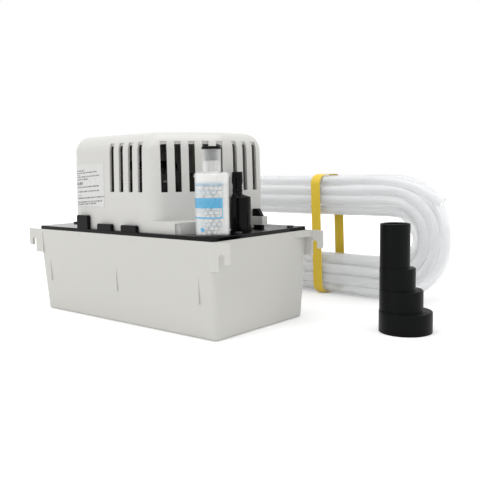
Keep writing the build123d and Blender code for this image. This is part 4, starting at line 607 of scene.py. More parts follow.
@dataclass(frozen=True)
class PrintedFilm(Finish):
    """A label film with generic print: ruled lines or coloured bands.

    A row is its middle height, thickness and right end in millimetres, and its darkness. Ruled
    stretches are shares of the film's height.
    """

    ink: Ink = Ink.LINES
    ink_colour: Colour = (0.12, 0.12, 0.13)
    start: float = 0.0
    tilt: float = 0.0
    rows: tuple[tuple[float, float, float, float], ...] = ()
    row_step: float = 3.7
    marks: tuple[Mark, ...] = ()
    ruled: tuple[tuple[float, float], ...] = ()
    width: float = 50 * MM
    height: float = 49 * MM
    pitch: float = 1.7 * MM
    ruled_strength: float = 0.4
    alpha_bare: float = 0.15
    alpha_inked: float = 0.64

    def adjust(self, s: Sketch, shader: bpy.types.Node) -> None:
        """Lay the print over the film's own colour; a film with bands is clear between them.

        Args:
            s: Sketch of the material's tree.
            shader: The Principled shader.
        """
        under = shader.inputs["Base Color"].links[0].from_socket
        mask = self.rule_rows(s) if self.ink is Ink.LINES else self.bands_and_rules(s)
        s.tree.links.new(s.mix(mask, under, (*self.ink_colour, 1.0)), shader.inputs["Base Color"])
        if self.ink is Ink.BANDS:
            alpha = s.spread(mask, 0.0, 1.0, self.alpha_bare, self.alpha_inked)
            s.tree.links.new(alpha, shader.inputs["Alpha"])

    def rule_rows(self, s: Sketch) -> bpy.types.NodeSocket:
        """Print each row as a broken bar that climbs to the right by the tilt for each metre.

        Args:
            s: Sketch of the material's tree.

        Returns:
            The socket of the ink's mask.
        """
        place = s.place()
        climb = s.maths("MULTIPLY", s.maths("SUBTRACT", place.outputs["X"], self.start), self.tilt)
        level = s.maths("SUBTRACT", place.outputs["Z"], climb)
        mask = 0.0
        for number, (height, thickness, end, dark) in enumerate(self.rows):
            row = s.node("ShaderNodeGroup", {
                "Along": place.outputs["X"], "Up": level, "Middle": height * MM,
                "Thickness": thickness * MM, "Start": self.start, "End": end * MM,
                "Row": number * self.row_step}, node_tree=broken_bar())
            mask = s.maths("MAXIMUM", mask, s.maths("MULTIPLY", row.outputs["Ink"], dark))
        return mask

    def bands_and_rules(self, s: Sketch) -> bpy.types.NodeSocket:
        """Print the wrapped film's marks, and faint ruled lines over its ruled stretches.

        Args:
            s: Sketch of the material's tree.

        Returns:
            The socket of the ink's mask.
        """
        film = s.node("ShaderNodeSeparateXYZ", {0: s.node("ShaderNodeUVMap", uv_map="print").outputs[0]})
        along, up = film.outputs["X"], film.outputs["Y"]
        lines = s.node("ShaderNodeGroup", {
            "Along": s.maths("MULTIPLY", along, self.width), "Up": s.maths("MULTIPLY", up, self.height),
            "Start": Mark.start * self.width, "End": Mark.end * self.width, "Pitch": self.pitch,
            "Weight": 0.5, "Ragged": 0.4, "Blank Rows": 0.2, "Gap Scale": 1400.0}, node_tree=ruled_lines())
        clear = s.maths("MAXIMUM", *(s.between(up, low, high) for low, high in self.ruled))
        mask = s.maths("MULTIPLY", lines.outputs["Ink"], clear, self.ruled_strength)
        for mark in self.marks:
            level, span = s.between(up, mark.low, mark.high), s.between(along, mark.start, mark.end)
            mask = s.maths("MAXIMUM", mask, s.maths("MULTIPLY", level, span, mark.strength))
        return mask


class Palette:
    tank_plastic = Finish((0.63, 0.625, 0.59), roughness=0.42, mottle=0.015, dust=0.02)
    cover_plastic = Finish((0.65, 0.645, 0.62), roughness=0.36, mottle=0.012, dust=0.02)
    deck_plastic = Finish((0.002, 0.002, 0.002), roughness=0.1, specular=0.12, grain_depth=0.004 * MM,
                          grain_size=3 * MM)
    black_plastic = Finish((0.002, 0.0025, 0.002), roughness=0.16, specular=0.1,
                           grain_depth=0.006 * MM)
    white_plastic = Finish((0.72, 0.72, 0.69), roughness=0.35)
    white_foam = Finish((0.82, 0.82, 0.80), roughness=0.8, grain_size=1.0 * MM, grain_depth=0.08 * MM)
    float_foam = Finish((0.02, 0.02, 0.022), roughness=0.8, grain_size=1.2 * MM, grain_depth=0.1 * MM)
    label_paper = PrintedFilm(
        (0.70, 0.70, 0.69), roughness=0.28, grain_depth=0.004 * MM,
        ink_colour=(0.06, 0.06, 0.06), start=-75 * MM, tilt=0.062,
        rows=((166.3, 1.4, -60.5, 0.7), (163.8, 1.5, -37.5, 0.75), (161.6, 1.1, -68.4, 0.6),
              (159.4, 1.5, -32.6, 0.7), (156.5, 1.4, -53.5, 0.8), (152.7, 1.7, -63.0, 0.9),
              (151.0, 1.4, -63.1, 0.85), (147.8, 1.5, -33.3, 0.75), (142.7, 1.5, -33.6, 0.8),
              (138.5, 1.1, -65.6, 0.6), (135.4, 1.6, -25.2, 0.8), (130.9, 1.6, -29.1, 0.75),
              (128.5, 1.5, -38.6, 0.75)))
    steel = Finish((0.24, 0.24, 0.235), roughness=0.4, metallic=1.0, stretch=(1.0, 12.0, 12.0))
    black_steel = Finish((0.03, 0.03, 0.033), roughness=0.35, metallic=0.6, grain_depth=0.006 * MM)
    stainless = Finish((0.6, 0.6, 0.6), roughness=0.25, metallic=1.0, stretch=(1.0, 1.0, 8.0))
    laminations = Finish((0.025, 0.025, 0.028), roughness=0.55, metallic=0.3,
                         stretch=(0.02, 0.02, 2.0), grain_depth=0.15 * MM, mottle=0.1)
    bronze = Finish((0.45, 0.3, 0.13), roughness=0.4, metallic=1.0, mottle=0.08)
    winding_tape = Finish((0.035, 0.028, 0.016), roughness=0.5, stretch=(0.1, 1.0, 0.1),
                          grain_size=0.5 * MM, grain_depth=0.12 * MM, mottle=0.08)
    bobbin_nylon = Finish((0.03, 0.03, 0.03), roughness=0.45)
    black_rubber = Finish((0.004, 0.0045, 0.0045), roughness=0.4, specular=0.08, grain_size=0.5 * MM,
                          grain_depth=0.012 * MM, mottle=0.15)
    grey_rubber = BandedFinish((0.07, 0.085, 0.095), roughness=0.5,
                               bands=((182.6 * MM, 186 * MM), (174 * MM, 176 * MM)))
    clear_plastic = ClearFinish((0.93, 0.93, 0.92), roughness=0.12, alpha_across=0.13, alpha_edge=0.8,
                                grain_depth=0.004 * MM)
    cloudy_plastic = ClearFinish((0.94, 0.94, 0.93), roughness=0.14, alpha_across=0.2, alpha_edge=0.85,
                                 grain_depth=0.004 * MM)
    bead_clear = Finish((0.74, 0.76, 0.76), roughness=0.15, mottle=0.12, mottle_size=4 * MM)
    label_blue = PrintedFilm(
        (0.84, 0.88, 0.90), roughness=0.25, ink=Ink.BANDS, ink_colour=(0.03, 0.47, 0.84),
        marks=(Mark(0.472, 0.674), Mark(0.905, 0.968, strength=0.5), Mark(0.271, 0.302),
               Mark(0.29, 0.48, start=0.965), Mark(0.012, 0.093, start=0.575, end=0.65)),
        ruled=((0.10, 0.24), (0.72, 0.86), (0.33, 0.44)))
    clear_vinyl = ClearFinish((0.94, 0.955, 0.97), roughness=0.08, alpha_across=0.32, alpha_edge=0.72,
                              turn=0.4, grain_depth=0.01 * MM, grain_size=8 * MM, mottle=0.05,
                              mottle_size=35 * MM, light_through=0.92)
    yellow_strap = Finish((0.80, 0.57, 0.04), roughness=0.5, grain_size=0.5 * MM,
                          grain_depth=0.03 * MM, mottle=0.04)

    @classmethod
    def named(cls, slot: str) -> Finish:
        """Look a finish up.

        Args:
            slot: Its name.

        Returns:
            The finish.
        """
        return getattr(cls, slot)


def dress(piece: bpy.types.Object, slot: str, finish: str = "") -> None:
    """Give a piece its finish, the slot's own or another named one.

    Args:
        piece: The object to dress.
        slot: Name of the record's material slot.
        finish: Name of the finish where it isn't the slot's own.
    """
    name = finish or slot
    piece.data.materials.clear()
    piece.data.materials.append(Palette.named(name).build(name))


def put_on(piece: bpy.types.Object, slot: str, body: str, *stands_for: str,
           finish: str = "") -> bpy.types.Object:
    """Dress a piece, make it ride on a body and let it stand for solids.

    Args:
        piece: The new object.
        slot: Its material slot.
        body: The body that carries it.
        stands_for: The solids that it replaces.
        finish: Name of the finish where it isn't the slot's own.

    Returns:
        The same object.
    """
    dress(piece, slot, finish)
    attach(piece, body)
    if stands_for:
        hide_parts(*stands_for)
    LOG.info("%s rides on %s with %d faces", piece.name, body, len(piece.data.polygons))
    return piece


@dataclass
class Solids:
    """The solids that keep their own shape and only take a finish."""

    nodes: dict[str, bpy.types.Object]
    slots: dict[str, str]

    def build(self) -> None:
        """Give each solid the finish of its slot."""
        for name, node in self.nodes.items():
            dress(node, self.slots[name])
        LOG.info("%d solids dressed", len(self.nodes))


@dataclass
class Hank:
    """The clear vinyl hose, wound in an upright oval: rows of two, three, three and two turns."""

    diameter: float = 12.7 * MM
    wall: float = 1.6 * MM
    right: float = 179.0 * MM
    left: float = -41.0 * MM
    middle_y: float = 219.9 * MM
    middle_z: float = 78.7 * MM
    radii: tuple[float, ...] = (32.5, 32.5, 45.4, 45.4, 45.4, 58.3, 58.3, 58.3, 71.2, 70.6)
    depths: tuple[float, ...] = (6.7, -6.7, -13.4, 0.0, 13.4, 13.4, 0.0, -13.4, 1.0, -12.0)
    first_points: int = 3
    slack_turn: int = 8
    slack_shift: float = -13.4 * MM
    slack_rise: float = 1.4
    slack_fall: float = 4.0
    change_from: float = 0.55
    change_over: float = 0.4
    floor_gap: float = 1.5 * MM
    tail: tuple[tuple[float, float], ...] = ((164.0, 150.2), (190.0, 146.5), (214.0, 140.0), (231.0, 132.0),
                                             (245.0, 124.0))
    arc_points: int = 9
    run_points: int = 3
    sides: int = 18
    wander: tuple[float, float, float] = (0.5 * MM, 0.8 * MM, 0.6 * MM)
    seed: int = 7
    length: float = 7.1

    def turn(self, radius: float, y: float) -> Array:
        """List one turn's control points, from the top left round clockwise as seen from the front.

        Each round end is an arc of control points about its centre, and each straight run has a few
        points between the two centres.

        Args:
            radius: Distance of the turn from the line between the two centres.
            y: Depth of the turn.

        Returns:
            One point per row.
        """
        swing = np.linspace(np.pi / 2, -np.pi / 2, self.arc_points)
        share = np.linspace(0, 1, self.run_points + 2)[1:-1]
        bulge = radius / math.cos(math.pi / (2 * (self.arc_points - 1)))
        right = np.stack((self.right + bulge * np.cos(swing), self.middle_z + bulge * np.sin(swing)), 1)
        left = np.stack((self.left - bulge * np.cos(swing), self.middle_z - bulge * np.sin(swing)), 1)
        span = self.right - self.left
        top = np.stack((self.left + span * share, np.full(self.run_points, self.middle_z + radius)), 1)
        bottom = np.stack((self.right - span * share, np.full(self.run_points, self.middle_z - radius)), 1)
        flat = np.concatenate((top, right, bottom, left))
        return np.stack((flat[:, 0], np.full(len(flat), y), flat[:, 1]), 1)

    def slacken(self, points: Array) -> None:
        """Move a turn's lower right half forward by the slack's shift, into the place of the tail.

        The share of the shift rises over the points of slack_rise on the right end and falls again
        over those of slack_fall on the bottom run.

        Args:
            points: The turn's control points, which are changed in place.
        """
        number = np.arange(len(points))
        rise = np.clip((number - self.run_points - 2) / self.slack_rise, 0, 1)
        fall = np.clip((number - self.run_points - self.arc_points + 1) / self.slack_fall, 0, 1)
        points[:, 1] += ease(rise) * (1 - ease(fall)) * self.slack_shift

    def route(self) -> Array:
        """String all turns on one route, from the inmost turn outwards.

        Between two turns the radius and the depth change over the turn's last run, by a smooth
        share of the way. A small seeded wander makes the turns uneven. The hose starts with the
        end of its first turn's left arc, and its tail leaves the last turn at the upper right.

        Returns:
            The control points of the whole hose.
        """
        pairs = zip(self.radii, self.depths)
        places = [(radius * MM, self.middle_y + depth * MM) for radius, depth in pairs]
        turns = [self.turn(*places[0])[-self.first_points:]]
        for number, (place, following) in enumerate(zip(places, places[1:])):
            points = self.turn(*place)
            if number == self.slack_turn:
                self.slacken(points)
            way = np.arange(len(points)) / len(points)
            share = ease(np.clip((way - self.change_from) / self.change_over, 0, 1))[:, None]
            turns.append(points * (1 - share) + self.turn(*following) * share)
        turns.append(self.turn(*places[-1])[:self.run_points])
        route = np.concatenate(turns)
        chance = np.random.default_rng(self.seed)
        route += chance.normal(0.0, 1.0, route.shape) * np.array(self.wander)
        route[:, 2] = np.maximum(route[:, 2], self.diameter / 2 + self.floor_gap)
        tail = np.array([(x, places[-1][1] / MM, z) for x, z in self.tail]) * MM
        return np.concatenate((route, tail))

    def line(self) -> Array:
        """Read the hose's centreline from a spline through the route.

        Returns:
            The centreline's points, about one per 5 mm.
        """
        curve = bpy.data.curves.new("hose_route", "CURVE")
        curve.dimensions = "3D"
        spline = curve.splines.new("NURBS")
        route = self.route()
        spline.points.add(len(route) - 1)
        spline.points.foreach_set("co", np.column_stack((route, np.ones(len(route)))).ravel())
        spline.order_u = 3
        spline.use_endpoint_u = True
        curve.resolution_u = 4
        guide = bpy.data.objects.new("hose_route", curve)
        bpy.context.scene.collection.objects.link(guide)
        mesh = bpy.data.meshes.new_from_object(guide)
        points = np.empty(len(mesh.vertices) * 3)
        mesh.vertices.foreach_get("co", points)
        bpy.data.objects.remove(guide)
        bpy.data.meshes.remove(mesh)
        return points.reshape(-1, 3)

    def build(self) -> bpy.types.Object:
        """Carry a ring along the centreline: the outer wall forwards, then the bore back.

        The ring's frame has one axis along the depth, made square to the line, and the other square
        to both. Outer and inner rings are joined at the two cut ends.

        Returns:
            The hose.
        """
        line = self.line()
        along = np.gradient(line, axis=0)
        along /= np.linalg.norm(along, axis=1, keepdims=True)
        depth = np.array((0.0, 1.0, 0.0)) - along * along[:, 1:2]
        depth /= np.linalg.norm(depth, axis=1, keepdims=True)
        other = np.cross(along, depth)
        angle = np.linspace(0, 2 * np.pi, self.sides, endpoint=False)
        ring = np.cos(angle)[None, :, None] * depth[:, None] + np.sin(angle)[None, :, None] * other[:, None]
        outer = line[:, None] + ring * self.diameter / 2
        inner = line[:, None] + ring * (self.diameter / 2 - self.wall)
        points = np.concatenate((outer, inner[::-1]))
        hose = add_mesh("vinyl_hose", points, grid_faces(len(points), self.sides, True, True), crease=60)
        close_up(hose, crease=60)
        put_on(hose, "clear_vinyl", "hank", "hose_hank")
        span = np.linalg.norm(np.diff(line, axis=0), axis=1).sum()
        LOG.info("hose is %.3f m long", span)
        return hose


@dataclass
class Strap:
    """The yellow band round both runs of the hank, a little askew."""

    x: float = 76.0 * MM
    lean: float = -0.028
    skew: float = 0.162
    width: float = 14.0 * MM
    thickness: float = 0.9 * MM
    depth: float = 44.6 * MM
    height: float = 157.6 * MM
    corner: float = 13.0 * MM
    middle_y: float = 219.9 * MM
    middle_z: float = 79.4 * MM
    steps: int = 14
    sides: int = 20
    width_power: float = 0.35
    edge_power: float = 0.5

    def outline(self) -> Array:
        """Walk once round a rectangle with round corners: each corner is a quarter circle.

        Returns:
            (depth, height) pairs about the middle, with no point twice.
        """
        half_y, half_z = self.depth / 2 - self.corner, self.height / 2 - self.corner
        quarter = np.linspace(0, np.pi / 2, self.steps)
        angle = (quarter[None, :] + np.array((0, 1, 2, 3))[:, None] * np.pi / 2).ravel()
        centre_y = np.repeat((half_y, -half_y, -half_y, half_y), self.steps)
        centre_z = np.repeat((half_z, half_z, -half_z, -half_z), self.steps)
        return np.stack((centre_y + self.corner * np.cos(angle), centre_z + self.corner * np.sin(angle)), 1)

    def build(self) -> bpy.types.Object:
        """Carry a flat, round-edged section round the outline.

        The section is a superellipse: the cosine to the width's power runs along X and the sine to
        the edge's power along the outline's outward normal. The band leans by a share of the height,
        and its back stands to the right of its front by a share of the depth.

        Returns:
            The strap.
        """
        path = self.outline()
        tangent = np.roll(path, -1, axis=0) - np.roll(path, 1, axis=0)
        tangent /= np.linalg.norm(tangent, axis=1, keepdims=True)
        outward = np.stack((tangent[:, 1], -tangent[:, 0]), 1)
        angle = np.linspace(0, 2 * np.pi, self.sides, endpoint=False)
        wave_x, wave_out = np.cos(angle), np.sin(angle)
        across = np.sign(wave_x) * np.abs(wave_x) ** self.width_power * self.width / 2
        out = np.sign(wave_out) * np.abs(wave_out) ** self.edge_power * self.thickness / 2
        flat = path[:, None] + outward[:, None] * out[None, :, None]
        drift = self.lean * flat[..., 1] + self.skew * (flat[..., 0] + self.depth / 2)
        x = self.x + across[None, :] + drift
        points = np.stack((x, self.middle_y + flat[..., 0], self.middle_z + flat[..., 1]), -1)
        strap = add_mesh("tie_strap", points, grid_faces(len(path), len(angle), True, True), crease=50)
        close_up(strap, crease=50)
        return put_on(strap, "yellow_strap", "hank", "hose_strap")


@dataclass
class Canister:
    """The clear treatment canister with its film label, loose beads, cap, stopper and disc."""

    x: float = 124.0 * MM
    y: float = -57.0 * MM
    foot: float = 102.0 * MM
    radius: float = 16.6 * MM
    height: float = 61.5 * MM
    wall: float = 1.2 * MM
    neck_radius: float = 7.8 * MM
    neck_height: float = 11.2 * MM
    straight: float = 5.0 * MM
    body_edges: tuple[float, ...] = (0, 2.0, 0, 0, 2.2, 1.0, 0.4, 0.4, 0.5, 1.4, 1.4, 0)
    seat: float = 0.3 * MM
    cap_radius: float = 9.4 * MM
    cap_wall: float = 1.0 * MM
    cap_height: float = 21.8 * MM
    cap_edges: tuple[float, ...] = (0.4, 0.3, 0.3, 0.4)
    pad_gap: float = 0.2 * MM
    pad_edges: tuple[float, ...] = (0, 1.2, 1.6, 0)
    nub_reach: float = 0.9
    nub_radius: float = 1.6 * MM
    nubs: tuple[tuple[float, float], ...] = ((40.0, 58.0 * MM), (220.0, 58.0 * MM), (40.0, 5.0 * MM))
    bead_radius: float = 2.25 * MM
    bead_level: float = 50.0 * MM
    rings: tuple[tuple[float, int], ...] = ((12.9 * MM, 17), (8.5 * MM, 11), (4.2 * MM, 5), (0.0, 1))
    layer_step: float = 1.72
    layer_turn: float = 0.185
    shake_angle: float = 0.06
    shake_radius: tuple[float, float] = (-0.25, 0.15)
    shake_height: float = 0.2
    film_gap: float = 0.12 * MM
    label_low: float = 4.0 * MM
    label_high: float = 53.0 * MM
    label_from: float = -206.0
    label_to: float = -6.0
    seed: int = 3

    def body(self) -> bpy.types.Object:
        """Turn the wall's closed section: outside from foot to neck, then back down the inside.

        Returns:
            The canister's body.
        """
        r, h, t, n = self.radius, self.height, self.wall, self.neck_radius
        top = h + self.neck_height
        profile = np.array([
            (0, 0), (r, 0), (r, self.straight), (r, h - self.straight), (r, h), (n, h), (n, top),
            (n - t, top), (n - t, h - t), (r - t, h - t), (r - t, t), (0, t)])
        profile = soften(profile, np.array(self.body_edges) * MM)
        profile[:, 1] += self.foot
        piece = turned("clear_canister", profile, (self.x, self.y), sides=96)
        return put_on(piece, "clear_plastic", "canister", "canister_body", finish="cloudy_plastic")

    def label(self) -> bpy.types.Object:
        """Wrap a thin film on the body: the angle runs across it, the height up it.

        Returns:
            The film, with a UV map that is 0 to 1 across and up.
        """
        columns, rows = 65, 9
        across, up = np.meshgrid(np.linspace(0, 1, columns), np.linspace(0, 1, rows), indexing="ij")
        angle = np.radians(self.label_from + (self.label_to - self.label_from) * across)
        radius = self.radius + self.film_gap
        height = self.foot + self.label_low + (self.label_high - self.label_low) * up
        points = np.stack((self.x + radius * np.cos(angle), self.y + radius * np.sin(angle), height), -1)
        film = add_mesh("canister_film", points, grid_faces(columns, rows, False, False))
        set_uv(film, across, up)
        return put_on(film, "label_blue", "canister", "canister_label")

    def beads(self) -> bpy.types.Object:
        """Pile small balls in rings, layer on layer, each layer turned and shaken a little.

        Returns:
            All the beads as one mesh.
        """
        chance = np.random.default_rng(self.seed)
        step = self.layer_step * self.bead_radius
        floor = self.foot + self.wall + self.bead_radius
        layers = int((self.bead_level - self.wall - 2 * self.bead_radius) / step) + 1
        ring_radius = np.concatenate([np.full(count, radius) for radius, count in self.rings])
        ring_angle = np.concatenate([np.arange(count) * 2 * np.pi / count for _, count in self.rings])
        level = np.arange(layers)[:, None]
        shake = chance.uniform(-self.shake_angle, self.shake_angle, (layers, len(ring_angle)))
        angle = ring_angle[None, :] + level * self.layer_turn + shake
        radius = ring_radius[None, :] + chance.uniform(*self.shake_radius, angle.shape) * MM
        z = floor + level * step + chance.uniform(-self.shake_height, self.shake_height, angle.shape) * MM
        x, y = self.x + radius * np.cos(angle), self.y + radius * np.sin(angle)
        centres = np.stack((x, y, z), -1).reshape(-1, 3)
        ball = bmesh.new()
        bmesh.ops.create_icosphere(ball, subdivisions=2, radius=self.bead_radius)
        shape = np.array([v.co for v in ball.verts])
        faces = np.array([[v.index for v in f.verts] for f in ball.faces])
        ball.free()
        points = centres[:, None] + shape[None]
        all_faces = faces[None] + (np.arange(len(centres)) * len(shape))[:, None, None]
        piece = add_mesh("treatment_beads", points, all_faces.reshape(-1, 3), crease=180)
        return put_on(piece, "bead_clear", "canister", "canister_beads")

    def pad(self) -> bpy.types.Object:
        """Turn the white foam pad under the shoulder that keeps the beads down, a disc with round edges.

        Returns:
            The pad.
        """
        low = self.foot + self.bead_level + self.seat
        high = self.foot + self.height - self.wall - self.seat
        radius = self.radius - self.wall - self.pad_gap
        corners = np.array([(0, low), (radius, low), (radius, high), (0, high)])
        profile = soften(corners, np.array(self.pad_edges) * MM)
        piece = turned("canister_pad", profile, (self.x, self.y), sides=64)
        return put_on(piece, "white_plastic", "canister", finish="white_foam")

    def cap(self) -> bpy.types.Object:
        """Turn the clear cap's wall, a tube with round edges.

        Returns:
            The cap.
        """
        low = self.foot + self.height + self.seat
        high = low + self.cap_height
        bore = self.cap_radius - self.cap_wall
        corners = np.array([(self.cap_radius, low), (self.cap_radius, high), (bore, high), (bore, low)])
        profile = soften(corners, np.array(self.cap_edges) * MM)
        piece = turned("clear_cap", profile, (self.x, self.y), sides=72, closed=True)
        return put_on(piece, "clear_plastic", "canister_cap", "canister_cap")

    def snap_nubs(self) -> bpy.types.Object:
        """Turn each small nub about the axis that points out from the canister.

        A nub is half an ellipse turned about its axis. It stands in the wall by the seat's depth.

        Returns:
            All the nubs as one mesh.
        """
        around, steps = 16, 7
        turn, rise = np.meshgrid(np.linspace(0, 2 * np.pi, around, endpoint=False),
                                 np.linspace(0, np.pi / 2, steps), indexing="ij")
        reach = self.radius - self.seat + self.nub_radius * self.nub_reach * np.sin(rise)
        side, up = (self.nub_radius * np.cos(rise) * wave(turn) for wave in (np.cos, np.sin))
        shapes = []
        for degrees, height in self.nubs:
            east, north = math.cos(math.radians(degrees)), math.sin(math.radians(degrees))
            nub = (self.x + reach * east - side * north, self.y + reach * north + side * east,
                   self.foot + height + up)
            shapes.append(np.stack(nub, -1).reshape(-1, 3))
        faces = grid_faces(around, steps, True, False)
        offsets = (np.arange(len(shapes)) * len(shapes[0]))[:, None, None]
        piece = add_mesh("canister_nubs", np.concatenate(shapes), (faces[None] + offsets).reshape(-1, 4))
        close_up(piece)
        return put_on(piece, "clear_plastic", "canister")

    def build(self) -> None:
        """Build every piece of the canister that its solids leave plain."""
        for make in (self.body, self.label, self.beads, self.pad, self.snap_nubs, self.cap):
            make()


@dataclass
class CheckValve:
    """The black check valve's screwed top with its collars and hose barb."""

    x: float = 112.0 * MM
    y: float = 0.0
    shift: tuple[float, float] = (-2.3 * MM, -2.1 * MM)
    nozzle_low: float = 139.5 * MM
    cone: float = 2.0 * MM
    bore: float = 3.2 * MM
    profile: tuple[tuple[float, float, float], ...] = (
        (7.3, -12.0, 0.4), (7.3, -2.0, 0.1), (9.8, -2.0, 0.3), (5.6, 0.4, 0.8), (5.15, 1.6, 0.3),
        (5.15, 3.6, 0.3), (5.65, 4.0, 0.4), (5.65, 4.9, 0.4), (5.15, 5.4, 0.3), (5.1, 10.6, 0.3),
        (5.6, 11.0, 0.4), (5.6, 12.0, 0.4), (5.95, 13.4, 1.0), (5.75, 20.0, 1.0), (5.5, 24.0, 0.5))
    bore_edges: tuple[float, float] = (0.3, 0.2)

    def nozzle(self) -> bpy.types.Object:
        """Turn the closed section: plug, cone, collars and barb outside, then the bore back down.

        Each profile point is a radius, a height and a rounding in millimetres. Over the cone's height
        the axis shifts from the valve's axis to the nozzle's, by a share that rises from 0 to 1.

        Returns:
            The screwed top.
        """
        outside = np.array([(radius, height) for radius, height, _ in self.profile]) * MM
        outside[:, 1] += self.nozzle_low
        inside = np.array([(self.bore, outside[-1, 1]), (self.bore, outside[0, 1])])
        radii = np.array([rounding for _, _, rounding in self.profile] + [*self.bore_edges]) * MM / 2
        section = soften(np.concatenate((outside, inside)), radii)
        share = np.clip((section[:, 1:] - self.nozzle_low) / self.cone + 1, 0, 1)
        return turned("screwed_barb", section, (self.x, self.y), sides=72, closed=True,
                      shifts=share * np.array(self.shift))

    def build(self) -> None:
        """Build the nozzle and dress it."""
        put_on(self.nozzle(), "black_plastic", "deck", "barb_nozzle")


@dataclass
class RubberAdapter:
    """The stepped rubber adapter: every step's circle comes close to one upright line at its side.

    Radii, walls, shifts, heights and edges are in millimetres, the base first.
    """

    x: float = 264.0 * MM
    y: float = 77.0 * MM
    flat_side: float = 206.0
    radii: tuple[float, ...] = (26.8, 21.9, 18.0, 15.0)
    walls: tuple[float, ...] = (2.4, 2.6, 2.8, 3.0)
    shifts: tuple[float, ...] = (0.35, 4.8, 8.6, 11.4)
    tops: tuple[float, ...] = (21.5, 43.0, 65.3, 110.0)
    ceiling: float = 3.0
    edge: float = 1.3
    inner_edge: float = 0.5

    def section(self) -> Array:
        """Walk the wall's closed section: up the steps outside, over the rim, down the bores inside.

        Returns:
            The rounded section in metres, one (radius, height, shift) per row.
        """
        bores = [radius - wall for radius, wall in zip(self.radii, self.walls)]
        outside, inside, edges = [], [], []
        foot = 0.0
        for radius, shift, top in zip(self.radii, self.shifts, self.tops):
            outside += [(radius, foot, shift), (radius, top, shift)]
            edges += [self.inner_edge, self.edge]
            foot = top
        foot = 0.0
        for bore, shift, top in zip(bores, self.shifts, self.tops):
            inside += [(bore, foot, shift), (bore, top - self.ceiling, shift)]
            foot = top - self.ceiling
        inside[-1] = (bores[-1], self.tops[-1], self.shifts[-1])
        edges += [self.inner_edge] * len(inside)
        return soften(np.array(outside + inside[::-1]), np.array(edges)) * MM

    def build(self) -> None:
        """Turn the section with each row's circle shifted towards the flat side, and dress it."""
        section = self.section()
        side = math.radians(self.flat_side)
        shifts = section[:, 2:] * np.array((math.cos(side), math.sin(side)))
        piece = turned("stepped_adapter", section, (self.x, self.y), sides=96, closed=True, shifts=shifts)
        put_on(piece, "black_rubber", "adapter", "rubber_adapter")


@dataclass(frozen=True)
class Lamp:
    name: str
    place: Place
    size: float
    power: float

    def build(self, target: Place) -> None:
        """Hang the lamp.

        Args:
            target: The point that it faces.
        """
        light = bpy.data.lights.new(self.name, "AREA")
        light.size = self.size
        light.energy = self.power
        lamp = bpy.data.objects.new(self.name, light)
        lamp.location = self.place
        lamp.rotation_euler = (Vector(target) - Vector(self.place)).to_track_quat("-Z", "Y").to_euler()
        bpy.context.scene.collection.objects.link(lamp)


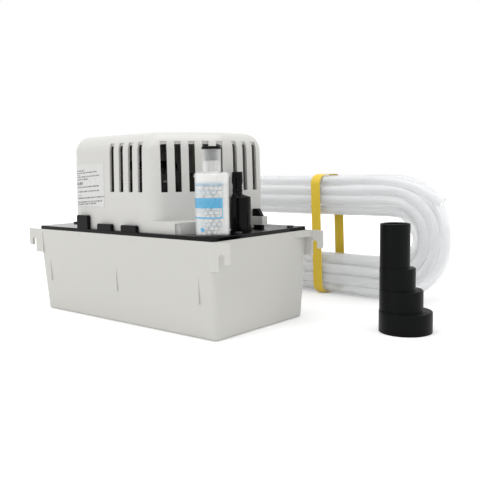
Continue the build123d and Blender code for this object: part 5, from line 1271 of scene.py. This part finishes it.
@dataclass
class Studio:
    """The pale floor, soft lamps, white surroundings and the camera at the photograph's angle."""

    camera_place: Place = (0.5619, -0.5322, 0.1644)
    azimuth: float = 40.15
    elevation: float = 6.12
    roll: float = -0.86
    focal_pixels: float = 661.1
    centre_pixel: tuple[float, float] = (241.8, 241.7)
    frame_pixels: float = 480.0
    sensor: float = 36.0
    floor_size: float = 12.0
    world_light: float = 0.55
    glow_near: float = 0.22
    glow_far: float = 0.64
    near: float = 0.35
    far: float = 1.1
    paint: Colour = (0.9, 0.9, 0.9)
    middle: Place = (0.05, 0.05, 0.08)
    lamps: tuple[Lamp, ...] = (
        Lamp("key_lamp", (-0.5, -1.6, 1.5), 1.2, 14.0), Lamp("top_lamp", (0.1, 0.1, 1.9), 1.6, 16.0),
        Lamp("side_lamp", (1.7, 0.2, 0.9), 1.0, 5.0))

    def camera(self) -> None:
        """Place the camera from its azimuth, elevation and roll."""
        azimuth, elevation, roll = np.radians((self.azimuth, self.elevation, self.roll))
        back = Vector((math.sin(azimuth) * math.cos(elevation), -math.cos(azimuth) * math.cos(elevation),
                       math.sin(elevation)))
        right = Vector((0, 0, 1)).cross(back).normalized()
        up = back.cross(right)
        rolled_right = math.cos(roll) * right + math.sin(roll) * up
        rolled_up = -math.sin(roll) * right + math.cos(roll) * up
        lens = bpy.data.cameras.new("camera")
        lens.sensor_width = self.sensor
        lens.lens = self.focal_pixels / self.frame_pixels * self.sensor
        lens.shift_x = 0.5 - self.centre_pixel[0] / self.frame_pixels
        lens.shift_y = self.centre_pixel[1] / self.frame_pixels - 0.5
        lens.clip_start = 0.01
        camera = bpy.data.objects.new("camera", lens)
        turned_axes = Matrix((rolled_right, rolled_up, back)).transposed().to_4x4()
        camera.matrix_world = Matrix.Translation(self.camera_place) @ turned_axes
        bpy.context.scene.collection.objects.link(camera)
        bpy.context.scene.camera = camera

    def floor(self) -> None:
        """Lay the pale floor: white to the camera where no shadow falls on it.

        The floor glows faintly near the object, so that contact shadows show, and more far from it,
        where little lamp light falls.
        """
        half = self.floor_size / 2
        points = np.array([(-half, -half, 0), (half, -half, 0), (half, half, 0), (-half, half, 0)])
        floor = add_mesh("floor", points, np.array([(0, 1, 2, 3)]))
        material = bpy.data.materials.new("floor_paint")
        s = fresh_sketch(material)
        paint = s.node("ShaderNodeBsdfDiffuse", {"Color": (*self.paint, 1.0)})
        place = s.node("ShaderNodeTexCoord").outputs["Object"]
        away = s.node("ShaderNodeVectorMath", {0: place}, operation="LENGTH").outputs["Value"]
        strength = s.spread(away, self.near, self.far, self.glow_near, self.glow_far, soft=True)
        strength = s.maths("MULTIPLY", s.seen_plainly(), strength)
        glow = s.node("ShaderNodeEmission", {"Color": (1, 1, 1, 1), "Strength": strength})
        both = s.node("ShaderNodeAddShader", {0: paint.outputs[0], 1: glow.outputs[0]})
        s.node("ShaderNodeOutputMaterial", {"Surface": both.outputs[0]})
        floor.data.materials.append(material)

    def world(self) -> None:
        """Set white surroundings to the camera and to gloss, and a softer light on the object."""
        world = bpy.data.worlds.new("studio")
        bpy.context.scene.world = world
        s = fresh_sketch(world)
        extra = s.maths("MULTIPLY", s.seen_plainly(), 1 - self.world_light)
        strength = s.maths("ADD", self.world_light, extra)
        sky = s.node("ShaderNodeBackground", {"Color": (1, 1, 1, 1), "Strength": strength})
        s.node("ShaderNodeOutputWorld", {"Surface": sky.outputs[0]})

    def build(self) -> None:
        """Set up camera, lamps, floor and surroundings."""
        bpy.context.scene.view_settings.view_transform = "Standard"
        self.camera()
        self.floor()
        self.world()
        for lamp in self.lamps:
            lamp.build(self.middle)
        LOG.info("studio ready")


def main() -> None:
    """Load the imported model, dress it and set the studio."""
    logging.basicConfig(level=logging.INFO, format="%(message)s")
    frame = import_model()
    Studio().build()
    slots = {part["node"]: part["material_slot"] for part in frame["record"]["subparts"]}
    Hank().build()
    Strap().build()
    Solids(frame["nodes"], slots).build()
    Canister().build()
    CheckValve().build()
    RubberAdapter().build()


if __name__ == "__main__":
    main()
